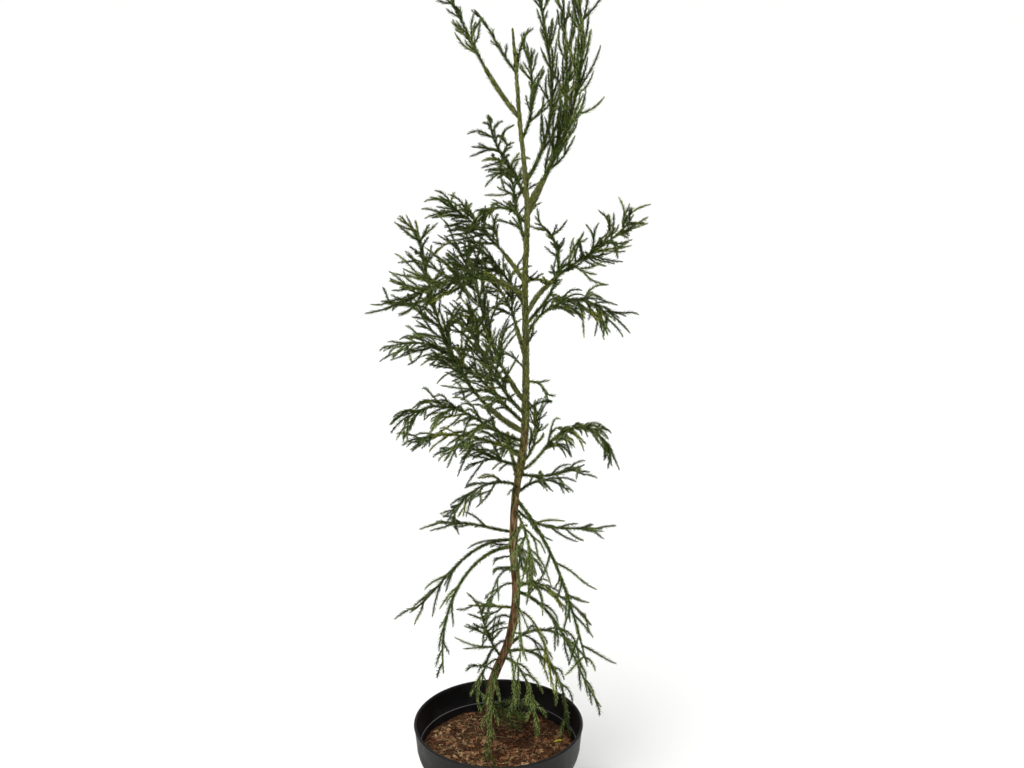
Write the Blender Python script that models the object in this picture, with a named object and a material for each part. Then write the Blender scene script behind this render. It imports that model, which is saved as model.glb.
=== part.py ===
"""A young Japanese cedar in a nursery pot, grown from named sizes by a seeded rule.

Units are metres, +Z is up, +X and +Y are level, and the origin is the centre of the pot's underside.
The trunk runs whole from the soil to the leader. Each branch is a bare bough, or none, and a mass:
one stem that carries twigs with a few needles standing out, all fused into one closed solid.
"""

import math
import random
from dataclasses import dataclass

import bmesh
import bpy
import numpy as np

# Pot
POT_HEIGHT = 0.150
POT_TOP_RADIUS = 0.095
POT_BASE_RADIUS = 0.068
COLLAR_HEIGHT = 0.030
COLLAR_FOOT_RADIUS = 0.0912
SHOULDER_HEIGHT = 0.047
SHOULDER_RADIUS = 0.0858
WALL = 0.0024
LIP = 0.0034
BEAD_FOOT = 0.6
BEAD_SET_BACK = 0.3
LIP_TOP_SHARES = (0.25, 0.75)
LIP_INNER_DROP = 0.4
LEDGE_SET_BACK = 0.8
FLOOR = 0.004
DRAIN_HOLES = 6
DRAIN_RADIUS = 0.004
DRAIN_RING = 0.052
POT_SIDES = 40
DRAIN_SIDES = 6

# Soil
SOIL_TOP = 0.114
SOIL_ROUGHNESS = 0.0028
SOIL_SIDES = 20
SOIL_RINGS = 6
SOIL_SEED = 21
LEVEL_SOIL_RADIUS = 0.012
SOIL_FADE = 0.020

# Trunk, boughs and stems
TRUNK_TIP = 0.908
TRUNK_SIDES = 8
TRUNK_RINGS = 28
TRUNK_CROWDING = 1.12
BOUGH_SIDES = 6
STEM_SIDES = 4
STEM_STEP = 0.016
STEM_ROOT_RADIUS = 0.0015
STEM_THICKENING = 0.0050
STEM_TIP_RADIUS = 0.0011

# Twigs: how they are set along a stem, and how far chance moves each of them
GOLDEN_TURN = 137.5
SEED_TURN = 40
TURN_SCATTER = 25
RETRY_TURN = 60
LAST_TWIG = 0.97
TIP_SHORTENING = 0.45
RETRY_SHORTENING = 0.12
LENGTH_RANGE = (0.72, 1.12)
SPREAD_RANGE = (0.75, 1.2)
LIFT_SCATTER = 18
BEND_POWER = 1.2
TWIG_TRIES = 4
TWIG_SIDES = 3
TWIG_STEP = 0.018
TWIG_ROOT_RADIUS = 0.0006
TWIG_RADIUS = 0.0016
TWIG_END_RADIUS = 0.0010

# Needles
NEEDLED_TWIG = 2
NEEDLE_LENGTH = 0.0060
NEEDLE_RADIUS = 0.0006
NEEDLE_LEAN = 42.0
NEEDLE_SHARE = 0.5

# Clearances
GAP = 0.0003
KEEP_CLEAR = 0.0018
TEST_STEP = 0.003
WELD = 0.000002

# Materials: name, linear colour and roughness
POT_PLASTIC = ("pot_plastic", (0.025, 0.026, 0.029), 0.45)
BARK_SOIL = ("bark_soil", (0.060, 0.030, 0.018), 0.95)
TRUNK_BARK = ("trunk_bark", (0.180, 0.090, 0.045), 0.85)
BOUGH_BARK = ("bough_bark", (0.130, 0.105, 0.045), 0.80)
NEEDLE_GREEN = ("needle_green", (0.045, 0.105, 0.025), 0.60)

# The trunk's stations: height, x, y and radius, from the flared foot up to the leader's tip.
TRUNK_STATIONS = (
    (SOIL_TOP, -0.0092, 0.0310, 0.0072),
    (0.128, -0.0098, 0.0308, 0.0055),
    (0.172, -0.0096, 0.0300, 0.0050),
    (0.240, 0.0126, 0.0280, 0.0048),
    (0.290, 0.0196, 0.0260, 0.0047),
    (0.355, 0.0166, 0.0240, 0.0043),
    (0.410, 0.0186, 0.0215, 0.0041),
    (0.475, 0.0279, 0.0190, 0.0038),
    (0.560, 0.0297, 0.0150, 0.0034),
    (0.655, 0.0286, 0.0110, 0.0028),
    (0.735, 0.0303, 0.0080, 0.0024),
    (0.778, 0.0272, 0.0060, 0.0021),
    (0.815, 0.0232, 0.0040, 0.0018),
    (0.868, 0.0191, 0.0020, 0.0014),
    (TRUNK_TIP, 0.0157, 0.0000, 0.0008),
)


@dataclass(frozen=True)
class Branch:
    """One branch of the tree.

    height is where it leaves the trunk and azimuth the way it points, in degrees from +X towards +Y.
    rises are the stem's angles above level at its root, its middle and its tip, and bough is the
    share of its length that is bare. The twigs leave the stem at the spread angle, are up to reach
    long, and bend towards the lift angle by the share pull.
    """

    name: str
    height: float
    azimuth: float
    rises: tuple
    length: float
    bough: float = 0.0
    twigs: int = 8
    reach: float = 0.04
    spread: float = 38.0
    lift: float = -20.0
    pull: float = 0.6
    start: float = 0.12
    seed: int = 1


BRANCHES = (
    Branch("leader_left", 0.866, 180, (52, 60, 44), 0.068, twigs=5, reach=0.016, lift=50, seed=3),
    Branch("leader_right", 0.863, 5, (82, 76, 62), 0.038, twigs=4, reach=0.014, lift=50, seed=4),
    Branch("top_left", 0.822, 190, (50, 62, 66), 0.150, 0.36, 10, 0.032, 40, 50, seed=5),
    Branch("top_middle", 0.800, -22, (64, 90, 106), 0.088, 0, 9, 0.028, 35, 75, seed=6),
    Branch("broom_outer", 0.733, -18, (57, 78, 110), 0.238, 0.12, 19, 0.060, 24, 88, 0.9, 0.03, seed=7),
    Branch("broom_middle", 0.724, 40, (55, 80, 96), 0.236, 0.12, 17, 0.050, 26, 86, 0.9, 0.03, seed=50),
    Branch("broom_inner", 0.757, 42, (54, 88, 97), 0.190, 0, 14, 0.046, 28, 84, 0.8, seed=8),
    Branch("crest_left", 0.738, 168, (68, 60, 86), 0.084, 0, 14, 0.038, 54, -25, seed=9),
    Branch("arch_left", 0.713, 176, (56, 6, -46), 0.054, 0, 6, 0.018, 40, -80, 0.9, 0.5, seed=11),
    Branch("upper_left", 0.653, 158, (55, 40, 22), 0.114, 0.25, 17, 0.044, 44, -20, 0.5, seed=12),
    Branch("left_arch", 0.638, 204, (42, 0, -30), 0.142, 0.25, 19, 0.062, 50, 20, 0.5, seed=13),
    Branch("tall_left", 0.488, 190, (30, 70, 78), 0.262, 0.18, 20, 0.056, 36, 10, 0.4, seed=14),
    Branch("inner_left", 0.521, 140, (40, 63, 56), 0.175, 0.16, 16, 0.064, 38, 40, 0.4, seed=15),
    Branch("inner_front", 0.508, 232, (40, 54, 54), 0.172, 0, 14, 0.056, 36, 40, 0.4, seed=16),
    Branch("droop_upper", 0.498, 152, (28, 34, -24), 0.170, 0, 14, 0.054, 38, -45, 0.6, seed=17),
    Branch("droop_middle", 0.478, 206, (22, 30, -52), 0.154, 0, 13, 0.050, 36, -60, 0.7, seed=18),
    Branch("droop_lower", 0.462, 182, (34, 8, -36), 0.118, 0, 9, 0.036, 30, -60, 0.7, seed=19),
    Branch("left_hang", 0.450, 150, (0, 6, -50), 0.100, 0, 9, 0.040, 32, -70, 0.7, seed=20),
    Branch("left_low", 0.427, 206, (22, -22, -62), 0.086, 0, 10, 0.038, 32, -50, 0.5, seed=21),
    Branch("left_reach", 0.371, 160, (-6, 4, -26), 0.092, 0, 7, 0.040, 30, -40, 0.5, 0.25, seed=46),
    Branch("left_weeper", 0.361, 196, (8, -42, -34), 0.138, 0, 8, 0.050, 28, -70, 0.6, 0.4, seed=22),
    Branch("left_fall", 0.352, 220, (16, -58, -94), 0.180, 0, 7, 0.044, 28, -80, 0.6, 0.4, seed=47),
    Branch("low_left", 0.277, 158, (0, -9, -13), 0.052, 0, 6, 0.028, 48, 20, seed=24),
    Branch("pot_left", 0.214, 204, (54, 72, 84), 0.070, 0, 11, 0.036, 44, 10, seed=25),
    Branch("right_upper", 0.616, -16, (66, 36, 60), 0.152, 0.3, 17, 0.046, 50, 20, 0.3, seed=27),
    Branch("right_inner", 0.607, 38, (46, 73, 167), 0.126, 0, 9, 0.024, 42, 40, 0.3, 0.3, seed=28),
    Branch("right_spray", 0.592, 20, (66, 3, -62), 0.112, 0, 15, 0.044, 38, -60, 0.7, 0.2, seed=29),
    Branch("right_hook", 0.546, -8, (0, -50, -95), 0.034, 0, 4, 0.018, 40, 10, seed=30),
    Branch("right_upright", 0.450, 12, (50, 82, 92), 0.058, 0, 9, 0.028, 34, 70, seed=31),
    Branch("right_arch", 0.443, -24, (34, 40, -90), 0.128, 0, 14, 0.044, 28, -75, 0.8, 0.2, seed=32),
    Branch("right_level", 0.440, -44, (8, 22, 30), 0.094, 0, 7, 0.030, 38, -30, seed=33),
    Branch("right_slope", 0.413, 38, (42, -20, -54), 0.084, 0, 6, 0.026, 34, -60, seed=48),
    Branch("right_fan", 0.400, 28, (-46, -18, -22), 0.118, 0, 10, 0.044, 28, -18, seed=34),
    Branch("right_weeper", 0.412, -34, (-44, -64, -72), 0.196, 0, 11, 0.062, 44, -22, 0.6, 0.3, seed=35),
    Branch("front_fall", 0.398, -62, (-20, -70, -88), 0.092, 0, 11, 0.052, 30, -88, 0.9, seed=36),
    Branch("low_arc", 0.309, 26, (-16, -40, -56), 0.122, 0, 8, 0.036, 35, -60, seed=37),
    Branch("low_weeper", 0.298, -34, (0, -58, -42), 0.158, 0, 11, 0.042, 28, -84, 0.8, seed=38),
    Branch("pot_back", 0.226, 46, (16, -34, -52), 0.164, 0, 8, 0.042, 36, -88, 0.8, seed=49),
    Branch("pot_right", 0.220, -16, (26, -62, -84), 0.138, 0, 11, 0.040, 38, -88, 0.8, seed=39),
    Branch("pot_front", 0.206, -100, (16, -60, -72), 0.118, 0, 9, 0.036, 32, -85, 0.8, seed=40),
    Branch("pot_fall", 0.214, -50, (20, -56, -84), 0.094, 0, 9, 0.040, 36, -86, 0.8, seed=41),
    Branch("back_high", 0.690, 108, (55, 50, 40), 0.085, 0, 9, 0.036, 40, 20, seed=42),
    Branch("back_upper", 0.628, 128, (45, 22, -20), 0.120, 0, 10, 0.042, 38, -10, seed=51),
    Branch("back_middle", 0.570, 112, (50, 30, 0), 0.135, 0.25, 11, 0.050, 38, 0, seed=43),
    Branch("back_low", 0.430, 98, (30, 0, -40), 0.125, 0.2, 10, 0.045, 36, -50, seed=44),
    Branch("back_lower", 0.330, 84, (10, -30, -60), 0.130, 0, 8, 0.042, 34, -70, 0.7, seed=52),
    Branch("right_small", 0.652, -50, (36, 8, 4), 0.040, 0, 5, 0.018, 44, 40, seed=45),
)


def heading(azimuth, rise):
    """Unit vector of an azimuth and an angle above level, both in degrees."""
    a = math.radians(azimuth)
    r = math.radians(rise)
    return np.array([math.cos(r) * math.cos(a), math.cos(r) * math.sin(a), math.sin(r)])


def unit(vector):
    """The vector at length one."""
    return vector / np.linalg.norm(vector)


def trunk_at(height):
    """Centre, direction and radius of the trunk at a height, on a smooth curve through its stations."""
    rows = np.array(TRUNK_STATIONS)
    slopes = np.gradient(rows[:, 1:], rows[:, 0], axis=0)
    i = int(np.clip(np.searchsorted(rows[:, 0], height) - 1, 0, len(rows) - 2))
    span = rows[i + 1, 0] - rows[i, 0]
    t = min(max((height - rows[i, 0]) / span, 0.0), 1.0)
    low = rows[i, 1:]
    rise = rows[i + 1, 1:] - low
    a = slopes[i] * span - rise
    b = rise - slopes[i + 1] * span
    blend = a * (1 - t) + b * t
    value = low + rise * t + t * (1 - t) * blend
    slope = (rise + (1 - 2 * t) * blend + t * (1 - t) * (b - a)) / span
    return np.array([value[0], value[1], height]), unit(np.array([slope[0], slope[1], 1.0])), value[2]


def seat_of(branch):
    """A point and the normal of the plane that a branch's foot lies in, a gap clear of the trunk's bark."""
    centre, axis, radius = trunk_at(branch.height)
    first = heading(branch.azimuth, branch.rises[0])
    normal = unit(first - axis * (first @ axis))
    return centre + normal * (radius + GAP), normal


def run_to_seat(point, direction, seat):
    """How far a line must run from a point to reach a seat's plane."""
    place, normal = seat
    return ((place - point) @ normal) / (direction @ normal)


def stem_line(branch):
    """Points of a branch's stem from the trunk's surface to its tip, TEST_STEP or less apart."""
    centre = trunk_at(branch.height)[0]
    root, middle, tip = branch.rises
    first = heading(branch.azimuth, root)
    points = [centre + first * run_to_seat(centre, first, seat_of(branch))]
    count = math.ceil(branch.length / TEST_STEP)
    for i in range(count):
        s = (i + 0.5) / count
        rise = root * (1 - s) * (1 - 2 * s) + middle * 4 * s * (1 - s) + tip * s * (2 * s - 1)
        points.append(points[-1] + heading(branch.azimuth, rise) * branch.length / count)
    return np.array(points)


def stem_radius(branch, share):
    """Radius of a branch's stem at a share of its length."""
    root = STEM_ROOT_RADIUS + STEM_THICKENING * branch.length
    return root + (STEM_TIP_RADIUS - root) * share


def twig_radii(count):
    """Radii of a twig's rings: a thin root inside its stem, then full, tapering towards the pointed tip."""
    full = [TWIG_RADIUS + (TWIG_END_RADIUS - TWIG_RADIUS) * i / count for i in range(1, count)]
    return [TWIG_ROOT_RADIUS] + full + [0.0]


def frame_of(direction):
    """Two directions square to one and to each other, the first of them level."""
    side = np.cross(direction, (0.0, 0.0, 1.0))
    side = unit(side) if side.any() else np.array([1.0, 0.0, 0.0])
    return side, unit(np.cross(side, direction))


def at_share(points, share):
    """Point and direction at a share of the length of a line whose points are evenly spaced."""
    where = share * (len(points) - 1)
    i = min(int(where), len(points) - 2)
    step = points[i + 1] - points[i]
    return points[i] + step * (where - i), unit(step)


def twig_line(root, along, turn, spread, length, lift, pull):
    """Points of an arc that leaves a stem at the spread angle and bends towards the lift angle."""
    side, up = frame_of(along)
    t = math.radians(turn)
    s = math.radians(spread)
    first = unit(along * math.cos(s) + (side * math.cos(t) + up * math.sin(t)) * math.sin(s))
    level = np.array([first[0], first[1], 0.0])
    level = unit(level) if level.any() else side
    goal = level * math.cos(math.radians(lift)) + np.array([0.0, 0.0, math.sin(math.radians(lift))])
    count = max(3, math.ceil(length / TEST_STEP))
    points = [root]
    for i in range(count):
        w = pull * ((i + 0.5) / count) ** BEND_POWER
        points.append(points[-1] + unit(first * (1 - w) + goal * w) * length / count)
    return np.array(points)


def pot_outer_radius(height):
    """Outer radius of the pot at a height: a straight body, a rounded shoulder and an upright collar."""
    shoulder = POT_HEIGHT - SHOULDER_HEIGHT
    collar = POT_HEIGHT - COLLAR_HEIGHT
    if height <= shoulder:
        return POT_BASE_RADIUS + (SHOULDER_RADIUS - POT_BASE_RADIUS) * height / shoulder
    if height <= collar:
        t = (height - shoulder) / (collar - shoulder)
        return SHOULDER_RADIUS + (COLLAR_FOOT_RADIUS - SHOULDER_RADIUS) * math.sin(t * math.pi / 2)
    t = (height - collar) / COLLAR_HEIGHT
    return COLLAR_FOOT_RADIUS + (POT_TOP_RADIUS - COLLAR_FOOT_RADIUS) * t


def clear_of_pot(points, margin):
    """Whether a line keeps clear of the soil and of the pot's wall."""
    out = np.hypot(points[:, 0], points[:, 1])
    z = points[:, 2]
    above_rim = z > POT_HEIGHT + margin
    inside = (out < COLLAR_FOOT_RADIUS - 2 * WALL - margin) & (z > SOIL_TOP + SOIL_ROUGHNESS + margin)
    outside = (out > POT_TOP_RADIUS + margin) & (z > margin)
    return bool(np.all(above_rim | inside | outside))


class Space:
    """The room already taken: points, the radius that each keeps free, and who owns it."""

    def __init__(self):
        self.points = np.zeros((0, 3))
        self.radii = np.zeros(0)
        self.owners = np.zeros(0, dtype=int)

    def take(self, points, radius, owner):
        """Claim the room round a line for an owner."""
        self.points = np.vstack([self.points, points])
        self.radii = np.concatenate([self.radii, np.full(len(points), radius)])
        self.owners = np.concatenate([self.owners, np.full(len(points), owner)])

    def is_clear(self, points, radius, owner):
        """Whether a line keeps out of all that other owners have taken."""
        reach = radius + self.radii.max()
        near = np.all(self.points > points.min(axis=0) - reach, axis=1)
        near &= np.all(self.points < points.max(axis=0) + reach, axis=1)
        near &= self.owners != owner
        if not near.any():
            return True
        gaps = np.linalg.norm(points[:, None] - self.points[None, near], axis=2)
        return bool(np.all(gaps > self.radii[near] + radius))


def grow_twigs(branch, owner, stem, space):
    """The twigs of one mass as lines, by the branch's seeded rule. One that finds no room is skipped."""
    draw = random.Random(branch.seed)
    first = branch.bough + (1 - branch.bough) * branch.start
    twigs = []
    for i in range(branch.twigs):
        share = first + (LAST_TWIG - first) * (i + 0.5) / branch.twigs
        root, along = at_share(stem, share)
        full = branch.reach * (1 - TIP_SHORTENING * share)
        for attempt in range(TWIG_TRIES):
            turn = i * GOLDEN_TURN + branch.seed * SEED_TURN + attempt * RETRY_TURN
            turn += draw.uniform(-TURN_SCATTER, TURN_SCATTER)
            length = full * draw.uniform(*LENGTH_RANGE) * (1 - RETRY_SHORTENING * attempt)
            spread = branch.spread * draw.uniform(*SPREAD_RANGE)
            lift = branch.lift + draw.uniform(-LIFT_SCATTER, LIFT_SCATTER)
            twig = twig_line(root, along, turn, spread, length, lift, branch.pull)
            fits = clear_of_pot(twig[1:], KEEP_CLEAR) and space.is_clear(twig[1:], KEEP_CLEAR, owner)
            if fits:
                space.take(twig[1:], KEEP_CLEAR, owner)
                twigs.append(twig)
                break
    return twigs


def grow_needles(twigs, owner, space):
    """Needles that stand out of a mass, one on every second twig, as lines from root to tip."""
    needles = []
    lean = math.radians(NEEDLE_LEAN)
    for count, twig in enumerate(twigs[::NEEDLED_TWIG]):
        root, along = at_share(twig, NEEDLE_SHARE)
        side, up = frame_of(along)
        turn = math.radians(GOLDEN_TURN * count)
        out = side * math.cos(turn) + up * math.sin(turn)
        tip = root + (along * math.cos(lean) + out * math.sin(lean)) * NEEDLE_LENGTH
        line = np.array([root, (root + tip) / 2, tip])
        if clear_of_pot(line, NEEDLE_RADIUS) and space.is_clear(line[1:], NEEDLE_RADIUS + GAP, owner):
            space.take(line[1:], NEEDLE_RADIUS, owner)
            needles.append(np.array([root, tip]))
    return needles


def grow_tree():
    """The stems, the twigs and the needles of every branch, in the order of BRANCHES."""
    space = Space()
    for height in np.arange(SOIL_TOP, TRUNK_TIP, TEST_STEP):
        centre, _, radius = trunk_at(height)
        space.take(centre[None], radius, -1)
    stems = [stem_line(branch) for branch in BRANCHES]
    for owner, stem in enumerate(stems):
        space.take(stem, KEEP_CLEAR, owner)
    twigs = [grow_twigs(branch, owner, stems[owner], space) for owner, branch in enumerate(BRANCHES)]
    needles = [grow_needles(twigs[owner], owner, space) for owner in range(len(BRANCHES))]
    return stems, twigs, needles


def resample(points, step):
    """A line with fewer points, evenly spaced and at most about a step apart."""
    length = np.linalg.norm(np.diff(points, axis=0), axis=1).sum()
    count = max(2, math.ceil(length / step))
    return np.array([at_share(points, i / count)[0] for i in range(count + 1)])


def clear_scene():
    """Remove whatever the scene holds."""
    for old in list(bpy.data.objects):
        bpy.data.objects.remove(old, do_unlink=True)


def make_material(name, colour, roughness):
    """A plain Principled material."""
    material = bpy.data.materials.new(name)
    material.use_nodes = True
    shader = material.node_tree.nodes["Principled BSDF"]
    shader.inputs["Base Color"].default_value = (*colour, 1.0)
    shader.inputs["Roughness"].default_value = roughness
    shader.inputs["Metallic"].default_value = 0.0
    return material


def new_object(name, mesh, material):
    """An object of the scene that holds the mesh and one material."""
    made = bpy.data.objects.new(name, mesh)
    bpy.context.scene.collection.objects.link(made)
    mesh.materials.clear()
    mesh.materials.append(material)
    return made


def line_directions(line):
    """The direction of a line at each of its points."""
    steps = np.diff(line, axis=0)
    steps /= np.linalg.norm(steps, axis=1)[:, None]
    middle = steps[:-1] + steps[1:]
    middle /= np.linalg.norm(middle, axis=1)[:, None]
    return np.vstack([steps[:1], middle, steps[-1:]])


def ring_offsets(line, radii, sides):
    """Offsets of each ring's corners from its point, carried along the line without twisting."""
    rings = []
    side = None
    for direction, radius in zip(line_directions(line), radii):
        if side is None:
            side = frame_of(direction)[0]
        side = unit(side - direction * (side @ direction))
        up = np.cross(direction, side)
        angles = [2 * math.pi * k / sides for k in range(sides)]
        rings.append([(side * math.cos(a) + up * math.sin(a)) * radius for a in angles])
    return np.array(rings)


def tube_mesh(name, line, radii, sides, seat=None):
    """A closed tapering tube, pointed where its last radius is nought.

    With a seat, its first ring lies in the seat's plane.
    """
    corners = ring_offsets(line, radii, sides) + line[:, None]
    if seat is not None:
        direction = line_directions(line)[0]
        for k in range(sides):
            corners[0, k] += direction * run_to_seat(corners[0, k], direction, seat)
    pointed = radii[-1] == 0.0
    if pointed:
        corners = corners[:-1]
    shape = bmesh.new()
    rings = [[shape.verts.new(corner) for corner in ring] for ring in corners]
    for low, high in zip(rings[:-1], rings[1:]):
        for k in range(sides):
            after = (k + 1) % sides
            shape.faces.new((low[k], low[after], high[after], high[k]))
    shape.faces.new(rings[0][::-1])
    if pointed:
        apex = shape.verts.new(line[-1])
        for k in range(sides):
            shape.faces.new((rings[-1][k], rings[-1][(k + 1) % sides], apex))
    else:
        shape.faces.new(rings[-1])
    mesh = bpy.data.meshes.new(name)
    shape.to_mesh(mesh)
    shape.free()
    return mesh


def turned_mesh(name, profile, sides):
    """A closed solid turned round the Z axis from an outline of (radius, height) pairs."""
    shape = bmesh.new()
    verts = [shape.verts.new((radius, 0.0, height)) for radius, height in profile]
    edges = [shape.edges.new(pair) for pair in zip(verts[:-1], verts[1:])]
    bmesh.ops.spin(shape, geom=verts + edges, axis=(0, 0, 1), cent=(0, 0, 0), steps=sides,
                   angle=2 * math.pi, use_merge=True)
    bmesh.ops.remove_doubles(shape, verts=shape.verts, dist=WELD)
    bmesh.ops.recalc_face_normals(shape, faces=shape.faces)
    mesh = bpy.data.meshes.new(name)
    shape.to_mesh(mesh)
    shape.free()
    return mesh


def pot_profile():
    """The outline of the pot, from the centre of its underside round its lip to the centre of its floor."""
    shoulder = POT_HEIGHT - SHOULDER_HEIGHT
    collar = POT_HEIGHT - COLLAR_HEIGHT
    heights = [0.0]
    heights += [shoulder + (collar - shoulder) * t for t in (0.0, 0.5, 1.0)]
    outer = [(pot_outer_radius(height), height) for height in heights]
    bead = POT_HEIGHT - LIP
    lip = [(pot_outer_radius(bead) - WALL * BEAD_SET_BACK, bead - LIP * BEAD_FOOT), (POT_TOP_RADIUS, bead)]
    lip += [(POT_TOP_RADIUS - LIP * share, POT_HEIGHT) for share in LIP_TOP_SHARES]
    lip += [(POT_TOP_RADIUS - LIP, POT_HEIGHT - LIP * LIP_INNER_DROP)]
    inner = [(pot_outer_radius(height) - WALL, height) for height in heights[:0:-1]]
    inner[0] = (COLLAR_FOOT_RADIUS - WALL * LEDGE_SET_BACK, collar + WALL)
    return [(0.0, 0.0)] + outer + lip + inner + [(POT_BASE_RADIUS - WALL, FLOOR), (0.0, FLOOR)]


def add_pot(material):
    """The pot: a turned shell with a ring of drain holes through its floor."""
    pot = new_object("pot", turned_mesh("pot", pot_profile(), POT_SIDES), material)
    shape = bmesh.new()
    for i in range(DRAIN_HOLES):
        turn = 2 * math.pi * (i + 0.5) / DRAIN_HOLES
        made = bmesh.ops.create_cone(shape, cap_ends=True, segments=DRAIN_SIDES, radius1=DRAIN_RADIUS,
                                     radius2=DRAIN_RADIUS, depth=3 * FLOOR)
        place = (DRAIN_RING * math.cos(turn), DRAIN_RING * math.sin(turn), FLOOR / 2)
        bmesh.ops.translate(shape, verts=made["verts"], vec=place)
    mesh = bpy.data.meshes.new("drain_cutter")
    shape.to_mesh(mesh)
    shape.free()
    cutter = new_object("drain_cutter", mesh, material)
    cutter.hide_render = True
    cutter.display_type = "WIRE"
    cut = pot.modifiers.new("drain_holes", "BOOLEAN")
    cut.operation = "DIFFERENCE"
    cut.object = cutter
    return pot


def add_soil(material):
    """The soil: it fills the pot, uneven on top and flat under the trunk's foot."""
    foot = trunk_at(SOIL_TOP)[0]
    shoulder = POT_HEIGHT - SHOULDER_HEIGHT
    inset = WALL + 2 * GAP
    edge = pot_outer_radius(shoulder + (POT_HEIGHT - COLLAR_HEIGHT - shoulder) / 2) - inset
    body = [(POT_BASE_RADIUS - inset, FLOOR + GAP), (SHOULDER_RADIUS - inset, shoulder)]
    top = [(edge * (1 - i / SOIL_RINGS), SOIL_TOP) for i in range(SOIL_RINGS)]
    profile = [(0.0, FLOOR + GAP)] + body + top + [(0.0, SOIL_TOP)]
    mesh = turned_mesh("soil", profile, SOIL_SIDES)
    draw = random.Random(SOIL_SEED)
    for vert in mesh.vertices:
        if vert.co.z > SOIL_TOP - GAP:
            near = math.hypot(vert.co.x - foot[0], vert.co.y - foot[1])
            fade = min(max((near - LEVEL_SOIL_RADIUS) / SOIL_FADE, 0.0), 1.0)
            vert.co.z += draw.uniform(-1, 1) * SOIL_ROUGHNESS * fade - GAP
    return new_object("soil", mesh, material)


def add_trunk(material):
    """The trunk, whole from its flat foot on the soil to the leader's tip."""
    rise = TRUNK_TIP - SOIL_TOP
    heights = [SOIL_TOP + rise * (i / TRUNK_RINGS) ** TRUNK_CROWDING for i in range(TRUNK_RINGS + 1)]
    found = [trunk_at(height) for height in heights]
    line = np.array([row[0] for row in found])
    mesh = tube_mesh("trunk", line, [row[2] for row in found], TRUNK_SIDES)
    for corner in mesh.vertices[:TRUNK_SIDES]:
        corner.co.z = SOIL_TOP
    return new_object("trunk", mesh, material)


def limb_part(branch, stem, low, high):
    """Line and radii of the part of a stem between two shares of its length."""
    count = max(2, math.ceil(branch.length * (high - low) / STEM_STEP))
    shares = [low + (high - low) * i / count for i in range(count + 1)]
    return np.array([at_share(stem, s)[0] for s in shares]), [stem_radius(branch, s) for s in shares]


def add_bough(branch, stem, material):
    """A bare limb from the trunk to the foot of its mass."""
    line, radii = limb_part(branch, stem, 0.0, branch.bough)
    mesh = tube_mesh("bough_" + branch.name, line, radii, BOUGH_SIDES, seat_of(branch))
    return new_object("bough_" + branch.name, mesh, material)


def largest_island(mesh):
    """Keep only the mesh's main shell: scraps and the walls of sealed hollows go."""
    shape = bmesh.new()
    shape.from_mesh(mesh)
    left = set(shape.verts)
    islands = []
    while left:
        todo = [left.pop()]
        island = list(todo)
        while todo:
            for edge in todo.pop().link_edges:
                for vert in edge.verts:
                    if vert in left:
                        left.remove(vert)
                        todo.append(vert)
                        island.append(vert)
        islands.append(island)
    islands.sort(key=len)
    drop = [vert for island in islands[:-1] for vert in island]
    bmesh.ops.delete(shape, geom=drop, context="VERTS")
    bmesh.ops.triangulate(shape, faces=shape.faces)
    bmesh.ops.remove_doubles(shape, verts=shape.verts, dist=WELD)
    shape.to_mesh(mesh)
    shape.free()


def add_mass(branch, stem, twigs, needles, material):
    """A branch's stem with its twigs and needles, fused into one solid."""
    name = "mass_" + branch.name
    foot = branch.bough + GAP / branch.length if branch.bough else 0.0
    line, radii = limb_part(branch, stem, foot, 1.0)
    seat = None if branch.bough else seat_of(branch)
    mass = new_object(name, tube_mesh(name, line, radii, STEM_SIDES, seat), material)
    pieces = bpy.data.collections.new(name + "_pieces")
    for twig in twigs:
        path = resample(twig, TWIG_STEP)
        shoot = tube_mesh("twig", path, twig_radii(len(path) - 1), TWIG_SIDES)
        pieces.objects.link(bpy.data.objects.new("twig", shoot))
    for needle in needles:
        spike = tube_mesh("needle", needle, [NEEDLE_RADIUS, 0.0], TWIG_SIDES)
        pieces.objects.link(bpy.data.objects.new("needle", spike))
    bpy.context.scene.collection.children.link(pieces)
    fuse = mass.modifiers.new("fuse", "BOOLEAN")
    fuse.operation = "UNION"
    fuse.operand_type = "COLLECTION"
    fuse.collection = pieces
    bpy.context.view_layer.update()
    fused = bpy.data.meshes.new_from_object(mass.evaluated_get(bpy.context.evaluated_depsgraph_get()))
    mass.modifiers.remove(fuse)
    mass.data = fused
    for piece in list(pieces.objects):
        bpy.data.objects.remove(piece, do_unlink=True)
    bpy.data.collections.remove(pieces)
    largest_island(fused)
    return mass


def build():
    """Make every solid of the potted tree."""
    clear_scene()
    add_pot(make_material(*POT_PLASTIC))
    add_soil(make_material(*BARK_SOIL))
    add_trunk(make_material(*TRUNK_BARK))
    bark = make_material(*BOUGH_BARK)
    green = make_material(*NEEDLE_GREEN)
    stems, twigs, needles = grow_tree()
    for branch, stem, shoots, spikes in zip(BRANCHES, stems, twigs, needles):
        if branch.bough:
            add_bough(branch, stem, bark.copy())
        add_mass(branch, stem, shoots, spikes, green.copy())
    bpy.data.materials.remove(bark)
    bpy.data.materials.remove(green)


build()
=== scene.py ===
"""The looks of a young Japanese cedar in a nursery pot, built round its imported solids.

The pot, the soil, the trunk and the boughs are modelled as relief meshes. The foliage grows by the
same seeded rule as the solids and is carried on to finer shoots, all clad in short curved needles.
Units are metres, +Z is up, and the origin is the centre of the pot's underside.
"""

import enum
import logging
import math
import random
from dataclasses import dataclass, field

import bpy
import numpy as np
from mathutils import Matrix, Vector, noise

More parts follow.
